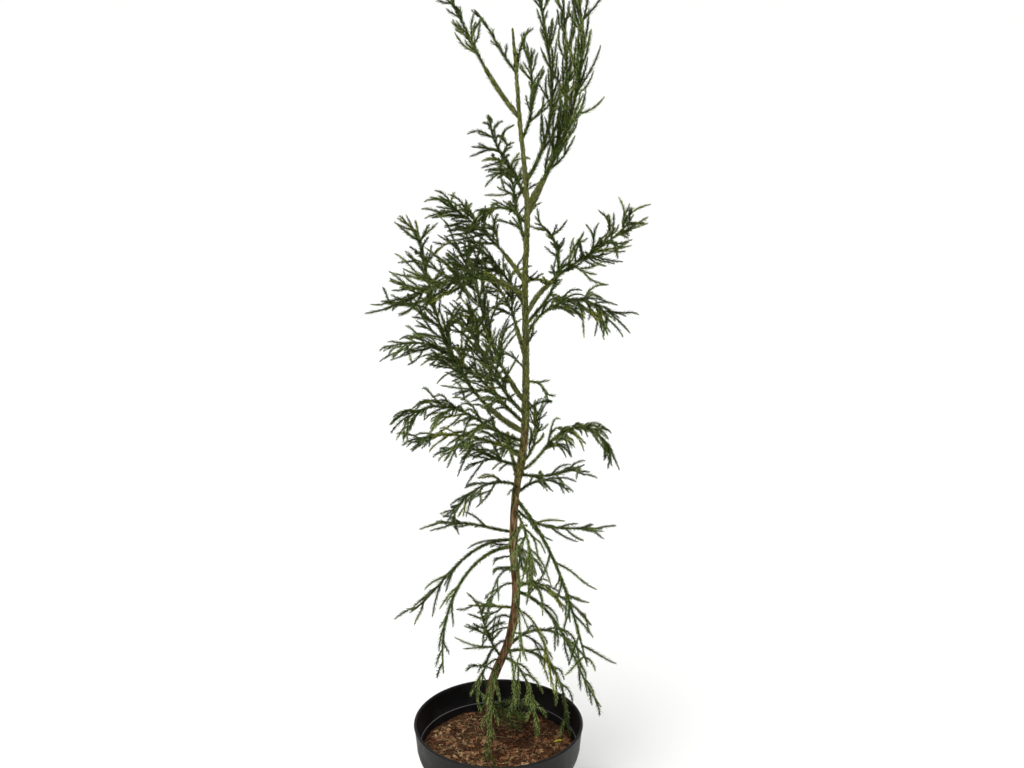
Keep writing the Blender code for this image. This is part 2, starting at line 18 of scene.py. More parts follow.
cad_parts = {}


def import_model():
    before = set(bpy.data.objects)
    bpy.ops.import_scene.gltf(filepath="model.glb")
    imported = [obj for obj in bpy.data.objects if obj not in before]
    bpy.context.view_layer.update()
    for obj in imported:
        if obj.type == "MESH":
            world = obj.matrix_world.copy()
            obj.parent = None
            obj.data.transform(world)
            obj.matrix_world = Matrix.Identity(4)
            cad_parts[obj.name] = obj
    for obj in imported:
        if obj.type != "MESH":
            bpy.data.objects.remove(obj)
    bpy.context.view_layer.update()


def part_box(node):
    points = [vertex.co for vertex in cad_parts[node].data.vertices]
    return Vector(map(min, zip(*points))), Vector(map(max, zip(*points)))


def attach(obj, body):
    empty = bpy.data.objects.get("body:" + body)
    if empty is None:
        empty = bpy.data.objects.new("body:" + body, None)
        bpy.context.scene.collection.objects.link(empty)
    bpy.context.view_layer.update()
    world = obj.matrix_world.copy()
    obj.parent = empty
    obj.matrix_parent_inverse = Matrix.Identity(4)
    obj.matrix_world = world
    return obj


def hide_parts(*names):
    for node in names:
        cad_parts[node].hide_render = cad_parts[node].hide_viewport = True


LOG = logging.getLogger("cedar")
BODY = "root"
# The name of the needles' point attribute, which carries their painted shade and painted light
TONE = "tone"
MM = 0.001

# Clearances
GAP = 0.3 * MM
TEST_STEP = 3 * MM
KEEP_CLEAR = 1.8 * MM
FORK_CLEAR = 1.0 * MM

# Edges sharper than these stay sharp, on the pot, on bark and on small things
POT_ANGLE = math.radians(40)
BARK_ANGLE = math.radians(50)
FINE_ANGLE = math.radians(60)

# Where most of a noise texture's values lie
NOISE_RANGE = {"From Min": 0.3, "From Max": 0.7}

# Twigs: how they are set along a stem, and how far chance moves each of them
GOLDEN_TURN = 137.5
SEED_TURN = 40
TURN_SCATTER = 25
RETRY_TURN = 60
LAST_TWIG = 0.97
TIP_SHORTENING = 0.45
RETRY_SHORTENING = 0.12
LENGTH_RANGE = (0.72, 1.12)
SPREAD_RANGE = (0.75, 1.2)
LIFT_SCATTER = 18
BEND_POWER = 1.2
TWIG_TRIES = 4


def linear(code: str) -> tuple[float, float, float, float]:
    """Turn an sRGB hex colour into linear values.

    Args:
        code: six hex digits after a hash mark.

    Returns:
        The linear red, green and blue, and an alpha of one.
    """
    parts = [int(code[i:i + 2], 16) / 255 for i in (1, 3, 5)]
    flat = [p / 12.92 if p <= 0.04045 else ((p + 0.055) / 1.055) ** 2.4 for p in parts]
    return (*flat, 1.0)


def feed(node: bpy.types.Node, inputs: dict) -> None:
    """Feed a node's inputs, each with a value or with a link from another node's output.

    Args:
        node: the node.
        inputs: values or output sockets, by the inputs' names or numbers.
    """
    for name, value in inputs.items():
        if isinstance(value, bpy.types.NodeSocket):
            node.id_data.links.new(value, node.inputs[name])
        else:
            node.inputs[name].default_value = value


def add_node(tree: bpy.types.NodeTree, kind: str, inputs: dict | None = None,
             **settings) -> bpy.types.Node:
    """Add a shader node with its settings, values and links.

    Args:
        tree: the material's node tree.
        kind: the node's type name after "ShaderNode".
        inputs: what feeds its inputs, as for feed().
        settings: the node's own properties.

    Returns:
        The new node.
    """
    node = tree.nodes.new("ShaderNode" + kind)
    for name, value in settings.items():
        setattr(node, name, value)
    feed(node, inputs or {})
    return node


def set_stops(ramp: bpy.types.ColorRamp, stops: tuple[tuple[float, str], ...]) -> None:
    """Give a colour ramp its stops.

    Args:
        ramp: the ramp, with two stops or fewer.
        stops: each stop's place and hex colour, from low to high.
    """
    while len(ramp.elements) < len(stops):
        ramp.elements.new(1.0)
    for element, (place, code) in zip(ramp.elements, stops):
        element.position = place
        element.color = linear(code)


def new_material(name: str, roughness: float, ior: float,
                 glint: float = 0.5) -> tuple[bpy.types.Material, bpy.types.Node]:
    """Make a dielectric material.

    Args:
        name: what the real material is.
        roughness: the surface's roughness.
        ior: its index of refraction.
        glint: its specular level, under a half where pits and hairs swallow some of the glint.

    Returns:
        The material and its shader node.
    """
    material = bpy.data.materials.new(name)
    material.use_nodes = True
    shader = material.node_tree.nodes["Principled BSDF"]
    feed(shader, {"Roughness": roughness, "IOR": ior, "Metallic": 0.0, "Specular IOR Level": glint})
    return material, shader


class Shade(enum.Enum):
    """The plain greens that the sprays of needles are dealt."""

    DEEP = "#28350c"
    LEAF = "#425023"
    FRESH = "#626e3d"
    BLUE = "#454f32"
    GOLD = "#6b702a"
    OLIVE = "#555927"


class Kind(enum.Enum):
    """What a line of the plant is, which decides the needles that it bears."""

    TRUNK = "trunk"
    BOUGH = "bough"
    STEM = "stem"
    TWIG = "twig"
    FORK = "fork"
    SPRIG = "sprig"


@dataclass(frozen=True)
class NeedleCuticle:
    """Live cedar needles: a waxy cuticle with a soft glint, green darkened by painted shade at the
    foot and paled by painted light towards the tip.
    """

    roughness: float = 0.55
    ior: float = 1.40
    glint: float = 0.1
    painted_foot_shade: float = 0.06
    painted_tip_light: float = 2.5
    mottle_mm: float = 9.0
    mottle_low: float = 0.8
    mottle_high: float = 1.2

    def material(self, shade: Shade) -> bpy.types.Material:
        """Make the finish of one shade of needles.

        Args:
            shade: their green.

        Returns:
            The material.
        """
        name = "needle_cuticle_" + shade.name.lower()
        made, shader = new_material(name, self.roughness, self.ior, self.glint)
        tree = made.node_tree
        place = add_node(tree, "TexCoord").outputs["Object"]
        mottle = add_node(tree, "TexNoise", {
            "Vector": place, "Detail": 1.0, "Scale": 1 / (self.mottle_mm * MM)})
        patch = add_node(tree, "MapRange", {
            "Value": mottle.outputs["Fac"], **NOISE_RANGE, "To Min": self.mottle_low,
            "To Max": self.mottle_high})
        # The tone paints shade at each needle's foot and light towards its tip and outer back; its
        # random part is each needle's own tone.
        tone = add_node(tree, "Attribute", attribute_name=TONE)
        needle = add_node(tree, "MapRange", {
            "Value": tone.outputs["Fac"], "To Min": self.painted_foot_shade, "To Max": self.painted_tip_light})
        light = add_node(tree, "Math", {0: patch.outputs["Result"], 1: needle.outputs["Result"]},
                         operation="MULTIPLY")
        colour = add_node(tree, "HueSaturation", {
            "Color": linear(shade.value), "Value": light.outputs[0]})
        feed(shader, {"Base Color": colour.outputs["Color"]})
        return made


@dataclass(frozen=True)
class GreenShoot:
    """The skin of a young shoot, ribbed by needles' feet, matt and a little paler than they are."""

    roughness: float = 0.6
    ior: float = 1.42
    glint: float = 0.08
    mottle_mm: float = 6.0
    greens: tuple = ((0.35, "#262e12"), (0.5, "#3a451d"), (0.68, "#5a5c2f"))

    def material(self) -> bpy.types.Material:
        """Make the finish.

        Returns:
            The material.
        """
        made, shader = new_material("green_shoot_skin", self.roughness, self.ior, self.glint)
        tree = made.node_tree
        place = add_node(tree, "TexCoord").outputs["Object"]
        mottle = add_node(tree, "TexNoise", {"Vector": place, "Scale": 1 / (self.mottle_mm * MM)})
        ramp = add_node(tree, "ValToRGB", {"Fac": mottle.outputs["Fac"]})
        set_stops(ramp.color_ramp, self.greens)
        feed(shader, {"Base Color": ramp.outputs["Color"]})
        return made


@dataclass(frozen=True)
class CedarBark:
    """Bark that flakes in thin upright strips: red-brown and fibrous below, green and sound above.

    The colours change from brown to green between the heights brown_top and green_from, give or
    take wander.
    """

    name: str = "cedar_bark"
    brown_top: float = 0.36
    green_from: float = 0.56
    wander: float = 0.12
    roughness: float = 0.82
    ior: float = 1.5
    glint: float = 0.2
    strip_mm: float = 2.4
    stretch: float = 0.14
    patch_mm: float = 30.0
    fibre_mm: float = 0.4
    browns: tuple = ((0.34, "#26180d"), (0.46, "#553b24"), (0.56, "#7e5f41"), (0.68, "#a08263"))
    greens: tuple = ((0.30, "#34371a"), (0.48, "#50522c"), (0.62, "#67693f"), (0.78, "#7f7a4f"))

    def material(self) -> bpy.types.Material:
        """Make the finish.

        Returns:
            The material.
        """
        made, shader = new_material(self.name, self.roughness, self.ior, self.glint)
        tree = made.node_tree
        place = add_node(tree, "TexCoord").outputs["Object"]
        upright = add_node(tree, "Mapping", {"Vector": place, "Scale": (1.0, 1.0, self.stretch)})
        strips = add_node(tree, "TexNoise", {
            "Vector": upright.outputs["Vector"], "Detail": 4.0, "Roughness": 0.62,
            "Scale": 1 / (self.strip_mm * MM)})
        brown = add_node(tree, "ValToRGB", {"Fac": strips.outputs["Fac"]})
        set_stops(brown.color_ramp, self.browns)
        green = add_node(tree, "ValToRGB", {"Fac": strips.outputs["Fac"]})
        set_stops(green.color_ramp, self.greens)
        height = add_node(tree, "SeparateXYZ", {"Vector": place})
        patch = add_node(tree, "TexNoise", {
            "Vector": place, "Scale": 1 / (self.patch_mm * MM), "Detail": 2.0})
        wander = add_node(tree, "MapRange", {
            "Value": patch.outputs["Fac"], "To Min": -self.wander, "To Max": self.wander})
        level = add_node(tree, "Math", {0: height.outputs["Z"], 1: wander.outputs["Result"]},
                         operation="ADD")
        share = add_node(tree, "MapRange", {
            "Value": level.outputs[0], "From Min": self.brown_top, "From Max": self.green_from},
            interpolation_type="SMOOTHSTEP")
        colour = add_node(tree, "Mix", {
            0: share.outputs["Result"], 6: brown.outputs["Color"], 7: green.outputs["Color"]},
            data_type="RGBA")
        fibre = add_node(tree, "Bump", {
            "Height": strips.outputs["Fac"], "Strength": 0.5, "Distance": self.fibre_mm * MM})
        feed(shader, {"Base Color": colour.outputs[2], "Normal": fibre.outputs["Normal"]})
        return made


@dataclass(frozen=True)
class MouldedPolypropylene:
    """Recycled black polypropylene, moulded: charcoal, satin, scuffed, dusted with dry peat.

    The moulding's grain is finer than the render shows, so it is drawn at a millimetre. The dust
    and the scuffs lie where the stains are, from none to dust_most and by the gloss's two steps.
    """

    roughness: float = 0.5
    ior: float = 1.49
    glint: float = 0.2
    colour: str = "#0c0c0d"
    dust: str = "#35302b"
    dust_most: float = 0.55
    dusty_stains: tuple = (0.42, 0.85)
    grain_mm: float = 1.0
    grain_depth_mm: float = 0.1
    stain_mm: float = 28.0
    glossier: float = 0.08
    duller: float = 0.16

    def material(self) -> bpy.types.Material:
        """Make the finish.

        Returns:
            The material.
        """
        made, shader = new_material("moulded_polypropylene", self.roughness, self.ior, self.glint)
        tree = made.node_tree
        place = add_node(tree, "TexCoord").outputs["Object"]
        grain = add_node(tree, "TexNoise", {"Vector": place, "Scale": 1 / (self.grain_mm * MM)})
        stain = add_node(tree, "TexNoise", {
            "Vector": place, "Scale": 1 / (self.stain_mm * MM), "Detail": 5.0, "Roughness": 0.65})
        amount = add_node(tree, "MapRange", {
            "Value": stain.outputs["Fac"], "From Min": self.dusty_stains[0],
            "From Max": self.dusty_stains[1], "To Max": self.dust_most})
        colour = add_node(tree, "Mix", {
            0: amount.outputs["Result"], 6: linear(self.colour), 7: linear(self.dust)},
            data_type="RGBA")
        rough = add_node(tree, "MapRange", {
            "Value": stain.outputs["Fac"], **NOISE_RANGE, "To Min": self.roughness - self.glossier,
            "To Max": self.roughness + self.duller})
        bump = add_node(tree, "Bump", {
            "Height": grain.outputs["Fac"], "Strength": 0.12, "Distance": self.grain_depth_mm * MM})
        feed(shader, {"Base Color": colour.outputs[2], "Roughness": rough.outputs["Result"],
                      "Normal": bump.outputs["Normal"]})
        return made


@dataclass(frozen=True)
class PaintedLedgeHighlight:
    """The same plastic painted pale, a painted highlight along the edge of the ledge inside the
    pot, where that edge catches the light.
    """

    roughness: float = 0.6
    ior: float = 1.49
    # A pale grey that paints the highlight which the ledge's edge catches
    colour: str = "#5c5c5e"

    def material(self) -> bpy.types.Material:
        """Make the finish.

        Returns:
            The material.
        """
        made, shader = new_material("ledge_painted_highlight", self.roughness, self.ior)
        feed(shader, {"Base Color": linear(self.colour)})
        return made


@dataclass(frozen=True)
class PlantMatter:
    """Dead plant matter in the soil, dull and fibrous: peat, bark or straw, by its colours."""

    name: str
    dark: str
    middle: str
    light: str
    grain_mm: float = 2.0
    roughness: float = 0.92
    ior: float = 1.45
    glint: float = 0.15
    relief_mm: float = 0.3

    def material(self) -> bpy.types.Material:
        """Make the finish.

        Returns:
            The material.
        """
        made, shader = new_material(self.name, self.roughness, self.ior, self.glint)
        tree = made.node_tree
        place = add_node(tree, "TexCoord").outputs["Object"]
        grain = add_node(tree, "TexNoise", {
            "Vector": place, "Scale": 1 / (self.grain_mm * MM), "Detail": 3.0})
        ramp = add_node(tree, "ValToRGB", {"Fac": grain.outputs["Fac"]})
        set_stops(ramp.color_ramp, ((0.32, self.dark), (0.5, self.middle), (0.7, self.light)))
        bump = add_node(tree, "Bump", {
            "Height": grain.outputs["Fac"], "Strength": 0.5, "Distance": self.relief_mm * MM})
        feed(shader, {"Base Color": ramp.outputs["Color"], "Normal": bump.outputs["Normal"]})
        return made


def dress(piece: bpy.types.Object, material: bpy.types.Material,
          nodes: list[str]) -> None:
    """Finish a piece: its material, its body and the nodes it stands for.

    Args:
        piece: the mesh object.
        material: its finish.
        nodes: the solids that it replaces.
    """
    piece.data.materials.clear()
    piece.data.materials.append(material)
    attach(piece, BODY)
    if nodes:
        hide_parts(*nodes)
    LOG.info("%s: %d faces", piece.name, len(piece.data.polygons))


def start_piece(name: str) -> bpy.types.Object:
    """Name the primitive that was just added.

    Args:
        name: the piece's name.

    Returns:
        The piece.
    """
    piece = bpy.context.object
    piece.name = name
    piece.data.name = name
    return piece


def add_object(name: str, data: bpy.types.ID) -> bpy.types.Object:
    """Put a new object into the scene.

    Args:
        name: its name.
        data: its mesh, lamp or camera.

    Returns:
        The object, at the origin.
    """
    made = bpy.data.objects.new(name, data)
    bpy.context.scene.collection.objects.link(made)
    return made


def join(pieces: list[bpy.types.Object]) -> bpy.types.Object:
    """Join pieces into one.

    Args:
        pieces: the pieces, of which the first takes in the rest.

    Returns:
        The joined piece.
    """
    bpy.ops.object.select_all(action="DESELECT")
    for piece in pieces:
        piece.select_set(True)
    bpy.context.view_layer.objects.active = pieces[0]
    bpy.ops.object.join()
    return bpy.context.object


def start_disc(name: str, sides: int, radius: float, height: float) -> bpy.types.Object:
    """Start a turned piece with a flat disc, and select the disc in edit mode.

    Args:
        name: the piece's name.
        sides: how many sides the disc has.
        radius: its radius.
        height: how high it lies.

    Returns:
        The piece.
    """
    bpy.ops.object.select_all(action="DESELECT")
    bpy.ops.mesh.primitive_circle_add(vertices=sides, radius=radius, fill_type="NGON",
                                      location=(0, 0, height))
    piece = start_piece(name)
    bpy.ops.object.mode_set(mode="EDIT")
    bpy.ops.mesh.select_mode(type="FACE")
    bpy.ops.mesh.select_all(action="SELECT")
    return piece


def raise_rings(rings: list[tuple[float, float]], radius: float, height: float) -> None:
    """Extrude the selected disc through rings.

    Args:
        rings: the radius and the height of each ring.
        radius: the disc's radius.
        height: the disc's height.
    """
    for ring_radius, ring_height in rings:
        rise = (0.0, 0.0, ring_height - height)
        bpy.ops.mesh.extrude_region_move(TRANSFORM_OT_translate={"value": rise})
        ratio = ring_radius / radius
        bpy.ops.transform.resize(value=(ratio, ratio, 1.0), center_override=(0, 0, 0))
        radius = ring_radius
        height = ring_height


def close_disc() -> None:
    """Turn the faces of a turned piece outward, and leave edit mode."""
    bpy.ops.mesh.select_all(action="SELECT")
    bpy.ops.mesh.normals_make_consistent(inside=False)
    bpy.ops.object.mode_set(mode="OBJECT")


def settle(piece: bpy.types.Object) -> None:
    """Apply a piece's modifiers and its place, so that it lies at the origin.

    Args:
        piece: the piece.
    """
    bpy.ops.object.select_all(action="DESELECT")
    piece.select_set(True)
    bpy.context.view_layer.objects.active = piece
    for modifier in list(piece.modifiers):
        bpy.ops.object.modifier_apply(modifier=modifier.name)
    bpy.ops.object.transform_apply(location=True, rotation=True, scale=True)


def get_points(piece: bpy.types.Object) -> np.ndarray:
    """Read the vertices of a piece.

    Args:
        piece: the piece.

    Returns:
        Rows of x, y and z.
    """
    flat = np.zeros(len(piece.data.vertices) * 3)
    piece.data.vertices.foreach_get("co", flat)
    return flat.reshape(-1, 3)


def set_points(piece: bpy.types.Object, points: np.ndarray) -> None:
    """Move the vertices of a piece to rows of x, y and z."""
    piece.data.vertices.foreach_set("co", points.ravel())
    piece.data.update()


@dataclass
class Heap:
    """Many small closed shapes, gathered as arrays for one joined piece."""

    points: list = field(default_factory=list)
    faces: list = field(default_factory=list)
    tones: list = field(default_factory=list)
    count: int = 0

    def add(self, points: np.ndarray, faces: np.ndarray, tones: np.ndarray | None = None) -> None:
        """Add a closed shape.

        Args:
            points: its points.
            faces: its triangles, by the numbers of its points.
            tones: how light each point is painted, for painted shade and painted light, where that
                matters.
        """
        self.points.append(points)
        self.faces.append(faces + self.count)
        self.count += len(points)
        if tones is not None:
            self.tones.append(tones)

    def build(self, name: str, smooth: bool) -> bpy.types.Object:
        """Make the joined piece.

        Args:
            name: the piece's name.
            smooth: whether its faces are shaded smooth.

        Returns:
            The new object, at the origin.
        """
        points = np.vstack(self.points).astype(np.float32)
        faces = np.vstack(self.faces).astype(np.int32)
        mesh = bpy.data.meshes.new(name)
        mesh.vertices.add(len(points))
        mesh.vertices.foreach_set("co", points.ravel())
        mesh.loops.add(faces.size)
        mesh.loops.foreach_set("vertex_index", faces.ravel())
        mesh.polygons.add(len(faces))
        mesh.polygons.foreach_set("loop_start", np.arange(0, faces.size, 3, dtype=np.int32))
        mesh.polygons.foreach_set("use_smooth", np.full(len(faces), smooth))
        mesh.update(calc_edges=True)
        if self.tones:
            tone = mesh.attributes.new(TONE, "FLOAT", "POINT")
            tone.data.foreach_set("value", np.concatenate(self.tones).astype(np.float32))
        return add_object(name, mesh)


def heading(azimuth: float, rise: float) -> np.ndarray:
    """Turn two angles into a direction.

    Args:
        azimuth: the way it points, in degrees from +X towards +Y.
        rise: its angle above level, in degrees.

    Returns:
        The unit vector.
    """
    a = math.radians(azimuth)
    r = math.radians(rise)
    return np.array([math.cos(r) * math.cos(a), math.cos(r) * math.sin(a), math.sin(r)])


def unit(vector: np.ndarray) -> np.ndarray:
    """The vector at length one."""
    return vector / np.linalg.norm(vector)


def frame_of(direction: np.ndarray) -> tuple[np.ndarray, np.ndarray]:
    """Find two directions square to one and to each other.

    Args:
        direction: the direction.

    Returns:
        The two unit vectors, the first of them level.
    """
    side = np.cross(direction, (0.0, 0.0, 1.0))
    side = unit(side) if side.any() else np.array([1.0, 0.0, 0.0])
    return side, unit(np.cross(side, direction))


def at_share(points: np.ndarray, share: float) -> tuple[np.ndarray, np.ndarray]:
    """Read a line at a share of its length.

    Args:
        points: the line's points, evenly spaced.
        share: the share of its length.

    Returns:
        The point and the line's direction there.
    """
    where = share * (len(points) - 1)
    i = min(int(where), len(points) - 2)
    step = points[i + 1] - points[i]
    return points[i] + step * (where - i), unit(step)


def length_of(points: np.ndarray) -> float:
    """The length of a line."""
    return float(np.linalg.norm(np.diff(points, axis=0), axis=1).sum())


def resample(points: np.ndarray, step: float) -> np.ndarray:
    """The same line with evenly spaced points, at most about a step apart."""
    count = max(2, math.ceil(length_of(points) / step))
    return np.array([at_share(points, i / count)[0] for i in range(count + 1)])


def blend_rows(rows: np.ndarray, where: np.ndarray) -> np.ndarray:
    """Read rows of values at places between them, by straight lines.

    Args:
        rows: the rows.
        where: the places, as numbers of rows and parts of them.

    Returns:
        The values at each place.
    """
    i = np.minimum(where.astype(int), len(rows) - 2)
    part = (where - i)[:, None]
    return rows[i] * (1 - part) + rows[i + 1] * part


def line_frames(line: np.ndarray) -> tuple[np.ndarray, np.ndarray, np.ndarray]:
    """Directions along and square to a line at each of its points, carried along without twisting.

    Args:
        line: the line's points.

    Returns:
        The direction along it, and two directions square to that and to each other, a row a point.
    """
    steps = np.diff(line, axis=0)
    steps /= np.linalg.norm(steps, axis=1)[:, None]
    middle = steps[:-1] + steps[1:]
    middle /= np.linalg.norm(middle, axis=1)[:, None]
    along = np.vstack([steps[:1], middle, steps[-1:]])
    sides = np.zeros_like(along)
    side = frame_of(along[0])[0]
    for i, direction in enumerate(along):
        side = unit(side - direction * (side @ direction))
        sides[i] = side
    return along, sides, np.cross(along, sides)


def tube(line: np.ndarray, radii: np.ndarray, sides: int) -> tuple[np.ndarray, np.ndarray]:
    """A closed tube with a flat foot and a pointed tip.

    Args:
        line: the points of its middle line.
        radii: its radius at each point; the last is left out, for the tip is a point.
        sides: its number of sides.

    Returns:
        Its points and its triangles.
    """
    _, across, up = line_frames(line)
    angles = np.arange(sides) * 2 * math.pi / sides
    offsets = across[:-1, None] * np.cos(angles)[:, None] + up[:-1, None] * np.sin(angles)[:, None]
    rings = line[:-1, None] + offsets * np.asarray(radii)[:-1, None, None]
    rows = len(line) - 1
    points = np.vstack([rings.reshape(-1, 3), line[-1:]])
    k = np.arange(sides)
    after = (k + 1) % sides
    faces = []
    for row in range(rows - 1):
        low = row * sides
        high = low + sides
        faces.append(np.stack([low + k, low + after, high + after], axis=1))
        faces.append(np.stack([low + k, high + after, high + k], axis=1))
    last = (rows - 1) * sides
    faces.append(np.stack([last + k, last + after, np.full(sides, rows * sides)], axis=1))
    faces.append(np.array([[0, i + 1, i] for i in range(1, sides - 1)]))
    return points, np.vstack(faces)


@dataclass(frozen=True)
class TrunkLine:
    """The trunk's way, as stations of height, x, y and radius from its flared foot to its tip."""

    soil_top: float = 0.114
    tip: float = 0.908
    stations: tuple = (
        (0.114, -0.0092, 0.0310, 0.0072),
        (0.128, -0.0098, 0.0308, 0.0055),
        (0.172, -0.0096, 0.0300, 0.0050),
        (0.240, 0.0126, 0.0280, 0.0048),
        (0.290, 0.0196, 0.0260, 0.0047),
        (0.355, 0.0166, 0.0240, 0.0043),
        (0.410, 0.0186, 0.0215, 0.0041),
        (0.475, 0.0279, 0.0190, 0.0038),
        (0.560, 0.0297, 0.0150, 0.0034),
        (0.655, 0.0286, 0.0110, 0.0028),
        (0.735, 0.0303, 0.0080, 0.0024),
        (0.778, 0.0272, 0.0060, 0.0021),
        (0.815, 0.0232, 0.0040, 0.0018),
        (0.868, 0.0191, 0.0020, 0.0014),
        (0.908, 0.0157, 0.0000, 0.0008),
    )

    def at(self, height: float) -> tuple[np.ndarray, np.ndarray, float]:
        """Read the trunk at a height, on a smooth curve through its stations.

        Args:
            height: the height above the pot's underside.

        Returns:
            The trunk's centre, its direction and its radius there.
        """
        rows = np.array(self.stations)
        slopes = np.gradient(rows[:, 1:], rows[:, 0], axis=0)
        i = int(np.clip(np.searchsorted(rows[:, 0], height) - 1, 0, len(rows) - 2))
        span = rows[i + 1, 0] - rows[i, 0]
        t = min(max((height - rows[i, 0]) / span, 0.0), 1.0)
        low = rows[i, 1:]
        rise = rows[i + 1, 1:] - low
        a = slopes[i] * span - rise
        b = rise - slopes[i + 1] * span
        blend = a * (1 - t) + b * t
        value = low + rise * t + t * (1 - t) * blend
        slope = (rise + (1 - 2 * t) * blend + t * (1 - t) * (b - a)) / span
        centre = np.array([value[0], value[1], height])
        return centre, unit(np.array([slope[0], slope[1], 1.0])), value[2]


@dataclass(frozen=True)
class Branch:
    """One branch of the tree.

    height is where it leaves the trunk and azimuth the way it points, in degrees from +X to +Y.
    rises are the stem's angles above level at its root, its middle and its tip, and bough is the
    share of its length that is bare. The twigs leave the stem at the spread angle, are up to reach
    long, and bend towards the lift angle by the share pull. start is where the first stands, fine
    is how freely they fork, and shade is the green of most of its sprays, where they share one.
    """

    name: str
    height: float
    azimuth: float
    rises: tuple
    length: float
    bough: float
    twigs: int
    reach: float
    spread: float
    lift: float
    pull: float
    start: float
    seed: int
    fine: float
    shade: Shade | None = None


